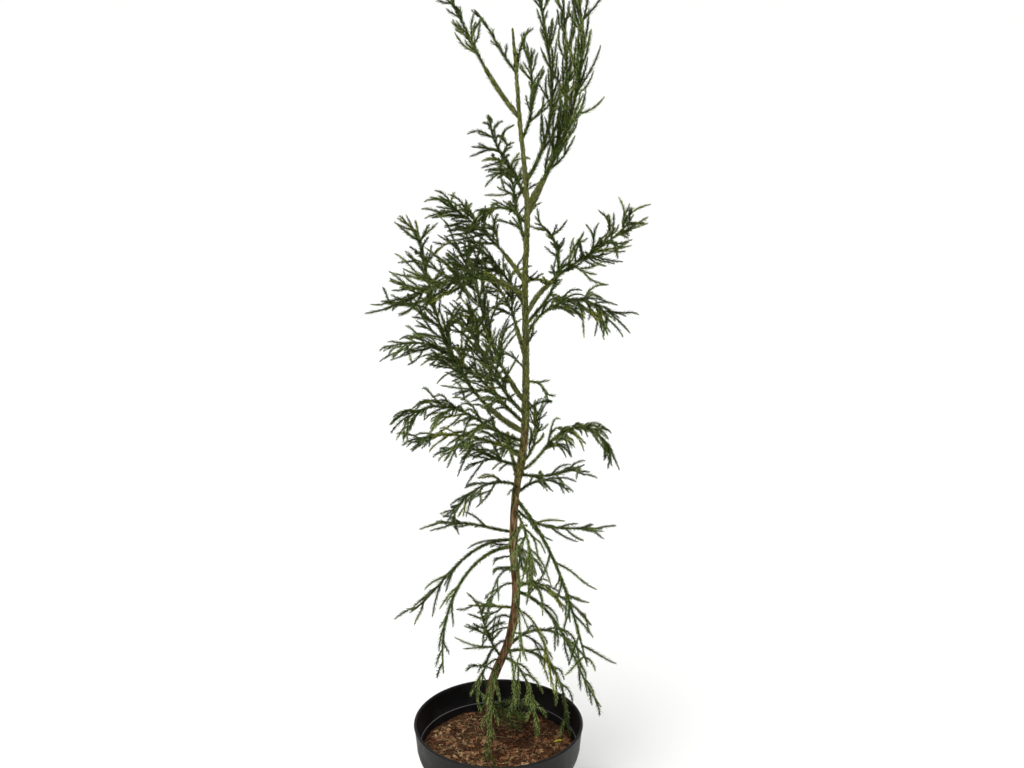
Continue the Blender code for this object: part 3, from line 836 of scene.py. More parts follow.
# Each branch's values in the order above
BRANCH_ROWS = (
    ("leader_left", 0.866, 180, (52, 60, 44), 0.068, 0, 5, 0.016, 38, 50, 0.6, 0.12, 3, 0.5),
    ("leader_right", 0.863, 5, (82, 76, 62), 0.038, 0, 4, 0.014, 38, 50, 0.6, 0.12, 4, 0.5),
    ("top_left", 0.822, 190, (50, 62, 66), 0.150, 0.36, 10, 0.032, 40, 50, 0.6, 0.12, 5, 1),
    ("top_middle", 0.800, -22, (64, 90, 106), 0.088, 0, 9, 0.028, 35, 75, 0.6, 0.12, 6, 1),
    ("broom_outer", 0.733, -18, (57, 78, 110), 0.238, 0.12, 19, 0.060, 24, 88, 0.9, 0.03, 7, 0.55),
    ("broom_middle", 0.724, 40, (55, 80, 96), 0.236, 0.12, 17, 0.050, 26, 86, 0.9, 0.03, 50, 0.5),
    ("broom_inner", 0.757, 42, (54, 88, 97), 0.190, 0, 14, 0.046, 28, 84, 0.8, 0.12, 8, 0.6),
    ("crest_left", 0.738, 168, (68, 60, 86), 0.084, 0, 14, 0.038, 54, -25, 0.6, 0.12, 9, 1),
    ("arch_left", 0.713, 176, (56, 6, -46), 0.054, 0, 6, 0.018, 40, -80, 0.9, 0.5, 11, 1),
    ("upper_left", 0.653, 158, (55, 40, 22), 0.114, 0.25, 17, 0.044, 44, -20, 0.5, 0.12, 12, 1.05),
    ("left_arch", 0.638, 204, (42, 0, -30), 0.142, 0.25, 19, 0.062, 50, 20, 0.5, 0.12, 13, 0.95),
    ("tall_left", 0.488, 190, (30, 70, 78), 0.262, 0.18, 20, 0.056, 36, 10, 0.4, 0.12, 14, 1.1),
    ("inner_left", 0.521, 140, (40, 63, 56), 0.175, 0.16, 16, 0.064, 38, 40, 0.4, 0.12, 15, 1.05),
    ("inner_front", 0.508, 232, (40, 54, 54), 0.172, 0, 14, 0.056, 36, 40, 0.4, 0.12, 16, 1),
    ("droop_upper", 0.498, 152, (28, 34, -24), 0.170, 0, 14, 0.054, 38, -45, 0.6, 0.12, 17, 1.1),
    ("droop_middle", 0.478, 206, (22, 30, -52), 0.154, 0, 13, 0.050, 36, -60, 0.7, 0.12, 18, 1),
    ("droop_lower", 0.462, 182, (34, 8, -36), 0.118, 0, 9, 0.036, 30, -60, 0.7, 0.12, 19, 1),
    ("left_hang", 0.450, 150, (0, 6, -50), 0.100, 0, 9, 0.040, 32, -70, 0.7, 0.12, 20, 1.2),
    ("left_low", 0.427, 206, (22, -22, -62), 0.086, 0, 10, 0.038, 32, -50, 0.5, 0.12, 21, 0.5),
    ("left_reach", 0.371, 160, (-6, 4, -26), 0.092, 0, 7, 0.040, 30, -40, 0.5, 0.25, 46, 0.1),
    ("left_weeper", 0.361, 196, (8, -42, -34), 0.138, 0, 8, 0.050, 28, -70, 0.6, 0.4, 22, 0.1),
    ("left_fall", 0.352, 220, (16, -58, -94), 0.180, 0, 7, 0.044, 28, -80, 0.6, 0.4, 47, 0.1),
    ("low_left", 0.277, 158, (0, -9, -13), 0.052, 0, 6, 0.028, 48, 20, 0.6, 0.12, 24, 0.1),
    ("pot_left", 0.214, 204, (54, 72, 84), 0.070, 0, 11, 0.036, 44, 10, 0.6, 0.12, 25, 0.3),
    ("right_upper", 0.616, -16, (66, 36, 60), 0.152, 0.3, 17, 0.046, 50, 20, 0.3, 0.12, 27, 1),
    ("right_inner", 0.607, 38, (46, 73, 167), 0.126, 0, 9, 0.024, 42, 40, 0.3, 0.3, 28, 1),
    ("right_spray", 0.592, 20, (66, 3, -62), 0.112, 0, 15, 0.044, 38, -60, 0.7, 0.2, 29, 1.2),
    ("right_hook", 0.546, -8, (0, -50, -95), 0.034, 0, 4, 0.018, 40, 10, 0.6, 0.12, 30, 0.5),
    ("right_upright", 0.450, 12, (50, 82, 92), 0.058, 0, 9, 0.028, 34, 70, 0.6, 0.12, 31, 1),
    ("right_arch", 0.443, -24, (34, 40, -90), 0.128, 0, 14, 0.044, 28, -75, 0.8, 0.2, 32, 0.8),
    ("right_level", 0.440, -44, (8, 22, 30), 0.094, 0, 7, 0.030, 38, -30, 0.6, 0.12, 33, 0.5),
    ("right_slope", 0.413, 38, (42, -20, -54), 0.084, 0, 6, 0.026, 34, -60, 0.6, 0.12, 48, 0.2),
    ("right_fan", 0.400, 28, (-46, -18, -22), 0.118, 0, 10, 0.044, 28, -18, 0.6, 0.12, 34, 0.15),
    ("right_weeper", 0.412, -34, (-44, -64, -72), 0.196, 0, 11, 0.062, 44, -22, 0.6, 0.3, 35, 0.1),
    ("front_fall", 0.398, -62, (-20, -70, -88), 0.092, 0, 11, 0.052, 30, -88, 0.9, 0.12, 36, 0.25,
     Shade.FRESH),
    ("low_arc", 0.309, 26, (-16, -40, -56), 0.122, 0, 8, 0.036, 35, -60, 0.6, 0.12, 37, 0.1),
    ("low_weeper", 0.298, -34, (0, -58, -42), 0.158, 0, 11, 0.042, 28, -84, 0.8, 0.12, 38, 0.05),
    ("pot_back", 0.226, 46, (16, -34, -52), 0.164, 0, 8, 0.042, 36, -88, 0.8, 0.12, 49, 0.05),
    ("pot_right", 0.220, -16, (26, -62, -84), 0.138, 0, 11, 0.040, 38, -88, 0.8, 0.12, 39, 0.05,
     Shade.FRESH),
    ("pot_front", 0.206, -100, (16, -60, -72), 0.118, 0, 9, 0.036, 32, -85, 0.8, 0.12, 40, 0,
     Shade.FRESH),
    ("pot_fall", 0.214, -50, (20, -56, -84), 0.094, 0, 9, 0.040, 36, -86, 0.8, 0.12, 41, 0.1,
     Shade.FRESH),
    ("back_high", 0.690, 108, (55, 50, 40), 0.085, 0, 9, 0.036, 40, 20, 0.6, 0.12, 42, 1),
    ("back_upper", 0.628, 128, (45, 22, -20), 0.120, 0, 10, 0.042, 38, -10, 0.6, 0.12, 51, 1),
    ("back_middle", 0.570, 112, (50, 30, 0), 0.135, 0.25, 11, 0.050, 38, 0, 0.6, 0.12, 43, 1),
    ("back_low", 0.430, 98, (30, 0, -40), 0.125, 0.2, 10, 0.045, 36, -50, 0.6, 0.12, 44, 0.6),
    ("back_lower", 0.330, 84, (10, -30, -60), 0.130, 0, 8, 0.042, 34, -70, 0.7, 0.12, 52, 0.3),
    ("right_small", 0.652, -50, (36, 8, 4), 0.040, 0, 5, 0.018, 44, 40, 0.6, 0.12, 45, 0.5),
)
BRANCHES = tuple(Branch(*row) for row in BRANCH_ROWS)

# Small shoots from the trunk: height, azimuth, rises, length, green and, if not three, twigs
SMALL_ROWS = (
    (0.354, 186, (12, 0, -20), 0.020, Shade.BLUE),
    (0.341, 192, (4, -12, -30), 0.019, Shade.DEEP),
    (0.328, 182, (0, -16, -34), 0.020, Shade.BLUE),
    (0.334, -84, (48, -30, -84), 0.064, Shade.FRESH),
    (0.318, -118, (50, -20, -86), 0.070, Shade.LEAF),
    (0.300, -36, (44, -6, -80), 0.066, Shade.GOLD),
    (0.274, -52, (20, -56, -82), 0.104, Shade.GOLD),
    (0.262, -134, (44, -10, -80), 0.054, Shade.LEAF),
    (0.252, 188, (6, -40, -70), 0.040, Shade.LEAF),
    (0.236, 226, (20, -50, -86), 0.062, Shade.DEEP),
    (0.196, 196, (40, 10, -20), 0.032, Shade.LEAF),
    (0.424, -96, (30, -10, -60), 0.036, Shade.DEEP),
    (0.470, -120, (30, 10, -30), 0.036, Shade.LEAF),
    (0.512, -40, (40, 30, 10), 0.034, Shade.DEEP),
    (0.560, 200, (44, 40, 20), 0.036, Shade.LEAF),
    (0.585, -70, (40, 50, 60), 0.030, Shade.DEEP),
    (0.286, -84, (40, -64, -86), 0.086, Shade.FRESH, 5),
    (0.246, -28, (10, -40, -84), 0.070, Shade.DEEP),
    (0.226, -78, (30, -56, -86), 0.082, Shade.FRESH, 4),
    (0.212, 222, (20, -66, -92), 0.068, Shade.FRESH, 4),
    (0.306, -142, (30, -50, -84), 0.060, Shade.LEAF),
    (0.350, -26, (10, -40, -70), 0.042, Shade.LEAF),
)


def small_shoot(number: int, height: float, azimuth: float, rises: tuple, length: float,
                shade: Shade, twigs: int = 3) -> Branch:
    """Describe a small shoot with a few side shoots of its own.

    Args:
        number: its number in the table above.
        height: where it leaves the trunk.
        azimuth: the way it points, in degrees.
        rises: its angles above level at root, middle and tip.
        length: its length.
        shade: its green.
        twigs: how many side shoots it has.

    Returns:
        The shoot as a branch.
    """
    return Branch(f"small_{number}", height, azimuth, rises, length, bough=0.0, twigs=twigs,
                  reach=0.45 * length, spread=34, lift=rises[2], pull=0.6, start=0.2,
                  seed=60 + number, fine=0.0, shade=shade)


TRUNK_SHOOTS = tuple(small_shoot(number, *row) for number, row in enumerate(SMALL_ROWS, 1))


@dataclass(frozen=True)
class PotForm:
    """A round nursery pot's sizes: a straight body, a rounded shoulder and an upright collar."""

    height: float
    top_radius: float
    base_radius: float = 0.068
    collar_height: float = 0.030
    collar_foot_radius: float = 0.0912
    shoulder_height: float = 0.047
    shoulder_radius: float = 0.0858
    wall: float = 0.0024
    lip: float = 0.0034
    floor: float = 0.004
    ledge: float = 0.0011

    @property
    def shoulder(self) -> float:
        """The height of the shoulder's foot."""
        return self.height - self.shoulder_height

    @property
    def collar(self) -> float:
        """The height of the collar's foot."""
        return self.height - self.collar_height

    def outer_radius(self, height: float) -> float:
        """Measure how wide the pot is.

        Args:
            height: the height above its underside.

        Returns:
            The outer radius there.
        """
        if height <= self.shoulder:
            spread = self.shoulder_radius - self.base_radius
            return self.base_radius + spread * height / self.shoulder
        if height <= self.collar:
            t = (height - self.shoulder) / (self.collar - self.shoulder)
            spread = self.collar_foot_radius - self.shoulder_radius
            return self.shoulder_radius + spread * math.sin(t * math.pi / 2)
        t = (height - self.collar) / self.collar_height
        return self.collar_foot_radius + (self.top_radius - self.collar_foot_radius) * t

    def is_clear(self, points: np.ndarray, margin: float, soil_top: float) -> bool:
        """Test whether a line keeps clear of the soil and of the pot's wall.

        Args:
            points: the line's points.
            margin: how far it keeps away.
            soil_top: the soil's highest point.

        Returns:
            True where no point is too near.
        """
        out = np.hypot(points[:, 0], points[:, 1])
        z = points[:, 2]
        above_rim = z > self.height + margin
        hollow = self.collar_foot_radius - 2 * self.wall
        inside = (out < hollow - margin) & (z > soil_top + margin)
        outside = (out > self.top_radius + margin) & (z > margin)
        return bool(np.all(above_rim | inside | outside))


class Space:
    """The room already taken: points, the radius that each keeps free, and who owns it."""

    def __init__(self) -> None:
        """Start with no room taken."""
        self.points = np.zeros((0, 3))
        self.radii = np.zeros(0)
        self.owners = np.zeros(0, dtype=int)

    def take(self, points: np.ndarray, radius: float, owner: int) -> None:
        """Claim the room round a line for an owner.

        Args:
            points: the line's points.
            radius: the room round it.
            owner: whose line it is.
        """
        self.points = np.vstack([self.points, points])
        self.radii = np.concatenate([self.radii, np.full(len(points), radius)])
        self.owners = np.concatenate([self.owners, np.full(len(points), owner)])

    def is_clear(self, points: np.ndarray, radius: float, owner: int) -> bool:
        """Test whether a line keeps out of all that other owners have taken.

        Args:
            points: the line's points.
            radius: the room that it needs round it.
            owner: whose line it is.

        Returns:
            True where nobody else's room is touched.
        """
        reach = radius + self.radii.max()
        near = np.all(self.points > points.min(axis=0) - reach, axis=1)
        near &= np.all(self.points < points.max(axis=0) + reach, axis=1)
        near &= self.owners != owner
        if not near.any():
            return True
        gaps = np.linalg.norm(points[:, None] - self.points[None, near], axis=2)
        return bool(np.all(gaps > self.radii[near] + radius))


@dataclass
class Shoot:
    """A grown shoot: its line, its skin's radius at root and tip, its needles' green, its kind."""

    line: np.ndarray
    root_radius: float
    tip_radius: float
    shade: Shade
    kind: Kind


# The radii of the shoots' skins at root and tip
TWIG_SKIN = (1.1 * MM, 0.55 * MM)
FORK_SKIN = (0.9 * MM, 0.5 * MM)
SMALL_SKIN = (0.95 * MM, 0.5 * MM)
SMALL_FORK_SKIN = (0.75 * MM, 0.45 * MM)
SPRIG_SKIN = (1.0 * MM, 0.6 * MM)
SPRIG_SIDE_SKIN = (0.8 * MM, 0.5 * MM)
STEM_TIP_SKIN = 0.7 * MM

# How often each shade is dealt, in the order of Shade, to sprays up to a height
SHADE_WEIGHTS = (
    (0.42, (3, 4, 2, 4, 1, 0)),
    (0.70, (4, 5, 3, 2, 1, 0)),
    (math.inf, (3, 6, 5, 1, 0, 1)),
)


@dataclass(frozen=True)
class ForkRule:
    """How a twig forks: how close, from where along it, how far round, how long and how widely.

    The stem values are for the short side shoots on the stems. Shoots sway to and fro by a share of
    their length, in about so many half waves, and bend up or down by lift_scatter.
    """

    spacing: float = 14.0 * MM
    first: float = 0.06
    span: float = 0.72
    unevenness: float = 0.6
    twig_turn: float = 50.0
    turn_scatter: float = 30.0
    least: float = 10 * MM
    share: float = 0.80
    length_range: tuple = (0.5, 1.3)
    spread_range: tuple = (18.0, 46.0)
    top_pull: float = 0.65
    stem_spacing: float = 15 * MM
    stem_range: tuple = (0.08, 0.95)
    stem_share: float = 0.60
    sway: float = 0.055
    stem_sway: float = 0.03
    half_waves: tuple = (0.8, 1.9)
    lift_scatter: float = 34.0
    least_scatter: float = 0.25


@dataclass(frozen=True)
class SprigRule:
    """The soft young shoots that lean out over the soil from the trunk's foot, and their sides."""

    heights: tuple = (0.146, 0.152, 0.148, 0.154, 0.150, 0.147)
    azimuths: tuple = (-52, -38, -22, -8, 8, 24)
    greens: tuple = (Shade.BLUE, Shade.LEAF, Shade.BLUE)
    lengths: tuple = (54 * MM, 50 * MM, 46 * MM)
    rise: float = 14.0
    lift: float = -26.0
    pull: float = 0.95
    sides: int = 6
    first: float = 0.34
    span: float = 0.58
    side_turn: float = 20.0
    side_spread: float = 46.0
    side_least: float = 9 * MM
    side_more: float = 16 * MM
    side_lift: float = -8.0
    side_pull: float = 0.6


@dataclass
class Growth:
    """The seeded rule by which the branches grow, and the finer forks that it is carried on to.

    bare_points is how much of a small shoot's line may lie in the bark's own room.
    """

    trunk: TrunkLine
    pot: PotForm
    soil_clear: float
    rule: ForkRule = ForkRule()
    sprig: SprigRule = SprigRule()
    stem_root: float = 1.5 * MM
    stem_thickening: float = 0.0050
    stem_tip: float = 1.1 * MM
    skin_share: float = 0.78
    needled_from: float = 0.430
    one_green: float = 0.75
    fine_seed: int = 500
    bare_points: int = 4
    space: Space = field(default_factory=Space)
    shoots: list[Shoot] = field(default_factory=list)

    def seat(self, branch: Branch) -> tuple[np.ndarray, np.ndarray]:
        """Find the plane that a branch's foot lies in, a gap clear of the bark.

        Args:
            branch: the branch.

        Returns:
            A point of the plane and its normal.
        """
        centre, axis, radius = self.trunk.at(branch.height)
        first = heading(branch.azimuth, branch.rises[0])
        normal = unit(first - axis * (first @ axis))
        return centre + normal * (radius + GAP), normal

    def stem_line(self, branch: Branch) -> np.ndarray:
        """Draw a branch's stem, from the trunk's surface to its tip.

        Args:
            branch: the branch.

        Returns:
            The line's points.
        """
        centre = self.trunk.at(branch.height)[0]
        root, middle, tip = branch.rises
        first = heading(branch.azimuth, root)
        place, normal = self.seat(branch)
        points = [centre + first * (((place - centre) @ normal) / (first @ normal))]
        count = math.ceil(branch.length / TEST_STEP)
        for i in range(count):
            s = (i + 0.5) / count
            rise = root * (1 - s) * (1 - 2 * s) + middle * 4 * s * (1 - s) + tip * s * (2 * s - 1)
            points.append(points[-1] + heading(branch.azimuth, rise) * branch.length / count)
        return np.array(points)

    def stem_radius(self, branch: Branch, share: float) -> float:
        """Radius of a branch's stem at a share of its length."""
        root = self.stem_root + self.stem_thickening * branch.length
        return root + (self.stem_tip - root) * share

    def rooted(self, branch: Branch, line: np.ndarray) -> np.ndarray:
        """Carry a stem's line back to the trunk's middle, so that its foot is sunk in the bark."""
        return np.vstack([self.trunk.at(branch.height)[0], line])

    def twig_line(self, root: np.ndarray, along: np.ndarray, turn: float, spread: float,
                  length: float, lift: float, pull: float) -> np.ndarray:
        """Grow one side shoot.

        Args:
            root: where it starts, on its parent's line.
            along: its parent's direction there.
            turn: where round its parent it starts, in degrees.
            spread: the angle at which it leaves, in degrees.
            length: its length.
            lift: the angle above level that it bends towards, in degrees.
            pull: how far it bends there, as a share.

        Returns:
            The points of its line.
        """
        side, up = frame_of(along)
        t = math.radians(turn)
        s = math.radians(spread)
        first = unit(along * math.cos(s) + (side * math.cos(t) + up * math.sin(t)) * math.sin(s))
        level = np.array([first[0], first[1], 0.0])
        level = unit(level) if level.any() else side
        rise = math.radians(lift)
        goal = level * math.cos(rise) + np.array([0.0, 0.0, math.sin(rise)])
        count = max(3, math.ceil(length / TEST_STEP))
        points = [root]
        for i in range(count):
            w = pull * ((i + 0.5) / count) ** BEND_POWER
            points.append(points[-1] + unit(first * (1 - w) + goal * w) * length / count)
        return np.array(points)

    def sway(self, line: np.ndarray, amount: float, draw: random.Random) -> np.ndarray:
        """Bend a line softly to and fro, with its root left in place.

        Args:
            line: the line's points.
            amount: the share of its length.
            draw: the seeded source of small differences.

        Returns:
            The bent line's points.
        """
        share = np.linspace(0, 1, len(line))[:, None]
        size = amount * length_of(line)
        bent = line
        for way in frame_of(unit(line[-1] - line[0])):
            waves = np.sin(math.pi * draw.uniform(*self.rule.half_waves) * share)
            bent = bent + way * waves * size * draw.uniform(-1, 1)
        return bent

    def sway_stem(self, branch: Branch, stem: np.ndarray, twigs: list[np.ndarray],
                  draw: random.Random) -> tuple[np.ndarray, list[np.ndarray]]:
        """Sway a stem beyond its bough and carry its twigs along, unless they would touch the pot.

        Args:
            branch: the branch.
            stem: its stem's line.
            twigs: its twigs' lines.
            draw: the seeded source of small differences.

        Returns:
            The stem's line and the twigs' lines.
        """
        start = int(len(stem) * branch.bough)
        bent = np.vstack([stem[:start], self.sway(stem[start:], self.rule.stem_sway, draw)])
        near = [np.linalg.norm(stem - twig[0], axis=1).argmin() for twig in twigs]
        moved = [twig + bent[k] - stem[k] for twig, k in zip(twigs, near)]
        if all(self.pot.is_clear(line, MM, self.soil_clear) for line in [bent, *moved]):
            return bent, moved
        return stem, twigs

    def bend_of(self, branch: Branch, draw: random.Random) -> float:
        """The angle a fine shoot bends towards, less scattered where its branch weeps or stands."""
        free = max(self.rule.least_scatter, math.cos(math.radians(branch.lift)))
        return branch.lift + draw.uniform(-1, 1) * self.rule.lift_scatter * free

    def take_room(self, line: np.ndarray, room: float, owner: int) -> bool:
        """Claim the room round a shoot beyond its root, where it finds any.

        Args:
            line: the shoot's line.
            room: the radius that it keeps free.
            owner: the number of its branch.

        Returns:
            False where it would come too near to the pot, the soil or another branch.
        """
        line = line[1:]
        if not (self.pot.is_clear(line, KEEP_CLEAR, self.soil_clear)
                and self.space.is_clear(line, room, owner)):
            return False
        self.space.take(line, room, owner)
        return True

    def grow_twigs(self, branch: Branch, owner: int, stem: np.ndarray) -> list[np.ndarray]:
        """Grow the twigs of one mass by its seed. One that finds no room is skipped.

        Args:
            branch: the mass's branch.
            owner: the branch's number.
            stem: its stem's line.

        Returns:
            The twigs' lines.
        """
        draw = random.Random(branch.seed)
        first = branch.bough + (1 - branch.bough) * branch.start
        twigs = []
        for i in range(branch.twigs):
            share = first + (LAST_TWIG - first) * (i + 0.5) / branch.twigs
            root, along = at_share(stem, share)
            full = branch.reach * (1 - TIP_SHORTENING * share)
            for attempt in range(TWIG_TRIES):
                turn = i * GOLDEN_TURN + branch.seed * SEED_TURN + attempt * RETRY_TURN
                turn += draw.uniform(-TURN_SCATTER, TURN_SCATTER)
                length = full * draw.uniform(*LENGTH_RANGE) * (1 - RETRY_SHORTENING * attempt)
                spread = branch.spread * draw.uniform(*SPREAD_RANGE)
                lift = branch.lift + draw.uniform(-LIFT_SCATTER, LIFT_SCATTER)
                twig = self.twig_line(root, along, turn, spread, length, lift, branch.pull)
                if self.take_room(twig, KEEP_CLEAR, owner):
                    twigs.append(twig)
                    break
        return twigs

    def grow_forks(self, branch: Branch, owner: int, twig: np.ndarray, number: int,
                   draw: random.Random) -> list[np.ndarray]:
        """The finer shoots of one twig, within its reach. One that finds no room is skipped.

        Args:
            branch: the branch that carries the twig.
            owner: the branch's number.
            twig: the twig's line.
            number: the twig's number on its branch.
            draw: the seeded source of small differences.

        Returns:
            The lines of the forks.
        """
        rule = self.rule
        length = length_of(twig)
        count = round(length / rule.spacing * branch.fine)
        forks = []
        for k in range(count):
            share = rule.first + rule.span * (k + draw.uniform(0, rule.unevenness)) / count
            root, along = at_share(twig, share)
            turn = k * GOLDEN_TURN + number * rule.twig_turn
            turn += draw.uniform(-rule.turn_scatter, rule.turn_scatter)
            reach = rule.least + rule.share * length * (1 - share)
            reach *= draw.uniform(*rule.length_range)
            spread = draw.uniform(*rule.spread_range)
            bend = self.bend_of(branch, draw)
            fork = self.twig_line(root, along, turn, spread, reach, bend, rule.top_pull)
            fork = self.sway(fork, rule.sway, draw)
            if self.take_room(fork, FORK_CLEAR, owner):
                forks.append(fork)
        return forks

    def grow_sides(self, branch: Branch, owner: int, stem: np.ndarray,
                   draw: random.Random) -> list[np.ndarray]:
        """Grow short shoots between a stem's twigs. One that finds no room is skipped.

        Args:
            branch: the branch.
            owner: the branch's number.
            stem: its stem's line.
            draw: the seeded source of small differences.

        Returns:
            The side shoots' lines.
        """
        rule = self.rule
        sides = []
        leafy = 1 - branch.bough
        for k in range(round(branch.length * leafy / rule.stem_spacing * branch.fine)):
            share = branch.bough + leafy * draw.uniform(*rule.stem_range)
            root, along = at_share(stem, share)
            reach = branch.reach * rule.stem_share * draw.uniform(*rule.length_range)
            turn = k * GOLDEN_TURN + draw.uniform(-rule.turn_scatter, rule.turn_scatter)
            spread = branch.spread * draw.uniform(*SPREAD_RANGE)
            bend = self.bend_of(branch, draw)
            side = self.twig_line(root, along, turn, spread, reach, bend, branch.pull)
            side = self.sway(side, rule.sway, draw)
            if self.take_room(side, FORK_CLEAR, owner):
                sides.append(side)
        return sides

    def deal_shade(self, branch: Branch, height: float, draw: random.Random) -> Shade:
        """Deal a spray its green by its height: fresher at the top, deeper and bluer below.

        Args:
            branch: the branch that bears it.
            height: the height of its tip.
            draw: the seeded source of small differences.

        Returns:
            The green.
        """
        if branch.shade and draw.random() < self.one_green:
            return branch.shade
        weights = next(weights for top, weights in SHADE_WEIGHTS if height <= top)
        return draw.choices(list(Shade), weights)[0]

    def add(self, line: np.ndarray, skin: tuple[float, float], shade: Shade, kind: Kind) -> None:
        """Keep a grown shoot, with its skin's radii at root and tip."""
        self.shoots.append(Shoot(line, *skin, shade, kind))

    def grow_branch(self, owner: int, stem: np.ndarray, twigs: list[np.ndarray]) -> None:
        """Clothe a branch's stem with its swaying twigs, their forks and the side shoots.

        Args:
            owner: the branch's number.
            stem: its stem's line, before it sways.
            twigs: its twigs' lines, before they sway.
        """
        branch = BRANCHES[owner]
        draw = random.Random(branch.seed + self.fine_seed)
        stem, twigs = self.sway_stem(branch, stem, twigs, draw)
        green = self.deal_shade(branch, stem[-1][2], draw)
        start = int(len(stem) * branch.bough)
        thick = self.skin_share * self.stem_radius(branch, branch.bough)
        line = stem[start:] if start else self.rooted(branch, stem)
        self.add(line, (thick, STEM_TIP_SKIN), green, Kind.STEM)
        for number, twig in enumerate(twigs):
            green = self.deal_shade(branch, twig[-1][2], draw)
            twig = self.sway(twig, self.rule.sway, draw)
            self.add(twig, TWIG_SKIN, green, Kind.TWIG)
            for fork in self.grow_forks(branch, owner, twig, number, draw):
                self.add(fork, FORK_SKIN, green, Kind.FORK)
        for side in self.grow_sides(branch, owner, stem, draw):
            self.add(side, FORK_SKIN, self.deal_shade(branch, side[-1][2], draw), Kind.FORK)

    def grow_small(self) -> None:
        """Grow the small shoots straight from the trunk. One that finds no room is skipped."""
        for number, branch in enumerate(TRUNK_SHOOTS):
            owner = len(BRANCHES) + number
            stem = self.stem_line(branch)
            if not self.space.is_clear(stem[self.bare_points:], 0.0, owner):
                continue
            self.space.take(stem, FORK_CLEAR, owner)
            self.add(self.rooted(branch, stem), SMALL_SKIN, branch.shade, Kind.TWIG)
            for twig in self.grow_twigs(branch, owner, stem):
                self.add(twig, SMALL_FORK_SKIN, branch.shade, Kind.FORK)

    def grow_limbs(self) -> None:
        """Add the trunk's upper part and the boughs, whose needles are pressed to their bark."""
        heights = np.arange(self.needled_from, self.trunk.tip, TEST_STEP)
        found = [self.trunk.at(height) for height in heights]
        line = np.array([row[0] for row in found])
        self.add(line, (found[0][2], found[-1][2]), Shade.OLIVE, Kind.TRUNK)
        for branch in BRANCHES:
            if branch.bough:
                stem = self.stem_line(branch)
                line = self.rooted(branch, stem[:int(len(stem) * branch.bough) + 1])
                radii = (self.stem_radius(branch, 0.0), self.stem_radius(branch, branch.bough))
                self.add(line, radii, Shade.OLIVE, Kind.BOUGH)

    def grow_sprigs(self) -> None:
        """Add the sprigs over the soil and their side shoots."""
        rule = self.sprig
        for number, (height, azimuth) in enumerate(zip(rule.heights, rule.azimuths)):
            root = self.trunk.at(height)[0]
            green = rule.greens[number % len(rule.greens)]
            length = rule.lengths[number % len(rule.lengths)]
            along = heading(azimuth, rule.rise)
            line = self.twig_line(root, along, 0.0, 0.0, length, rule.lift, rule.pull)
            self.add(line, SPRIG_SKIN, green, Kind.SPRIG)
            for k in range(rule.sides):
                share = rule.first + rule.span * k / rule.sides
                start, along = at_share(line, share)
                length = rule.side_least + rule.side_more * (1 - share)
                side = self.twig_line(start, along, 180.0 * k + rule.side_turn, rule.side_spread,
                                      length, rule.side_lift, rule.side_pull)
                self.add(side, SPRIG_SIDE_SKIN, green, Kind.SPRIG)

    def grow(self) -> None:
        """Grow every shoot: all stems and twigs first, which have the first claim to room."""
        for height in np.arange(self.trunk.soil_top, self.trunk.tip, TEST_STEP):
            centre, _, radius = self.trunk.at(height)
            self.space.take(centre[None], radius, -1)
        stems = [self.stem_line(branch) for branch in BRANCHES]
        for owner, stem in enumerate(stems):
            self.space.take(stem, KEEP_CLEAR, owner)
        twigs = [self.grow_twigs(branch, owner, stems[owner])
                 for owner, branch in enumerate(BRANCHES)]
        for owner, stem in enumerate(stems):
            self.grow_branch(owner, stem, twigs[owner])
        self.grow_small()
        self.grow_limbs()
        self.grow_sprigs()


# A needle's corners: at its foot, its elbow or its tip (0, 1, 2), how far aside and how far out
# in half widths, and how light it is painted there: painted shade at the foot, painted light
# towards the tip and along the outer back. Its triangles are given by the corners' numbers.
NEEDLE_CORNERS = (
    (0, 0.9, 0.0, 0.0), (0, 0.0, 1.0, 0.1), (0, -0.9, 0.0, 0.0),
    (1, 0.8, -0.25, 0.45), (1, 0.0, 0.75, 0.7), (1, -0.8, -0.25, 0.45),
    (2, 0.0, 0.0, 1.0),
)
NEEDLE_FACES = np.array([[0, 1, 2], [0, 3, 4], [0, 4, 1], [1, 4, 5], [1, 5, 2],
                         [2, 5, 3], [2, 3, 0], [3, 6, 4], [4, 6, 5], [5, 6, 3]])


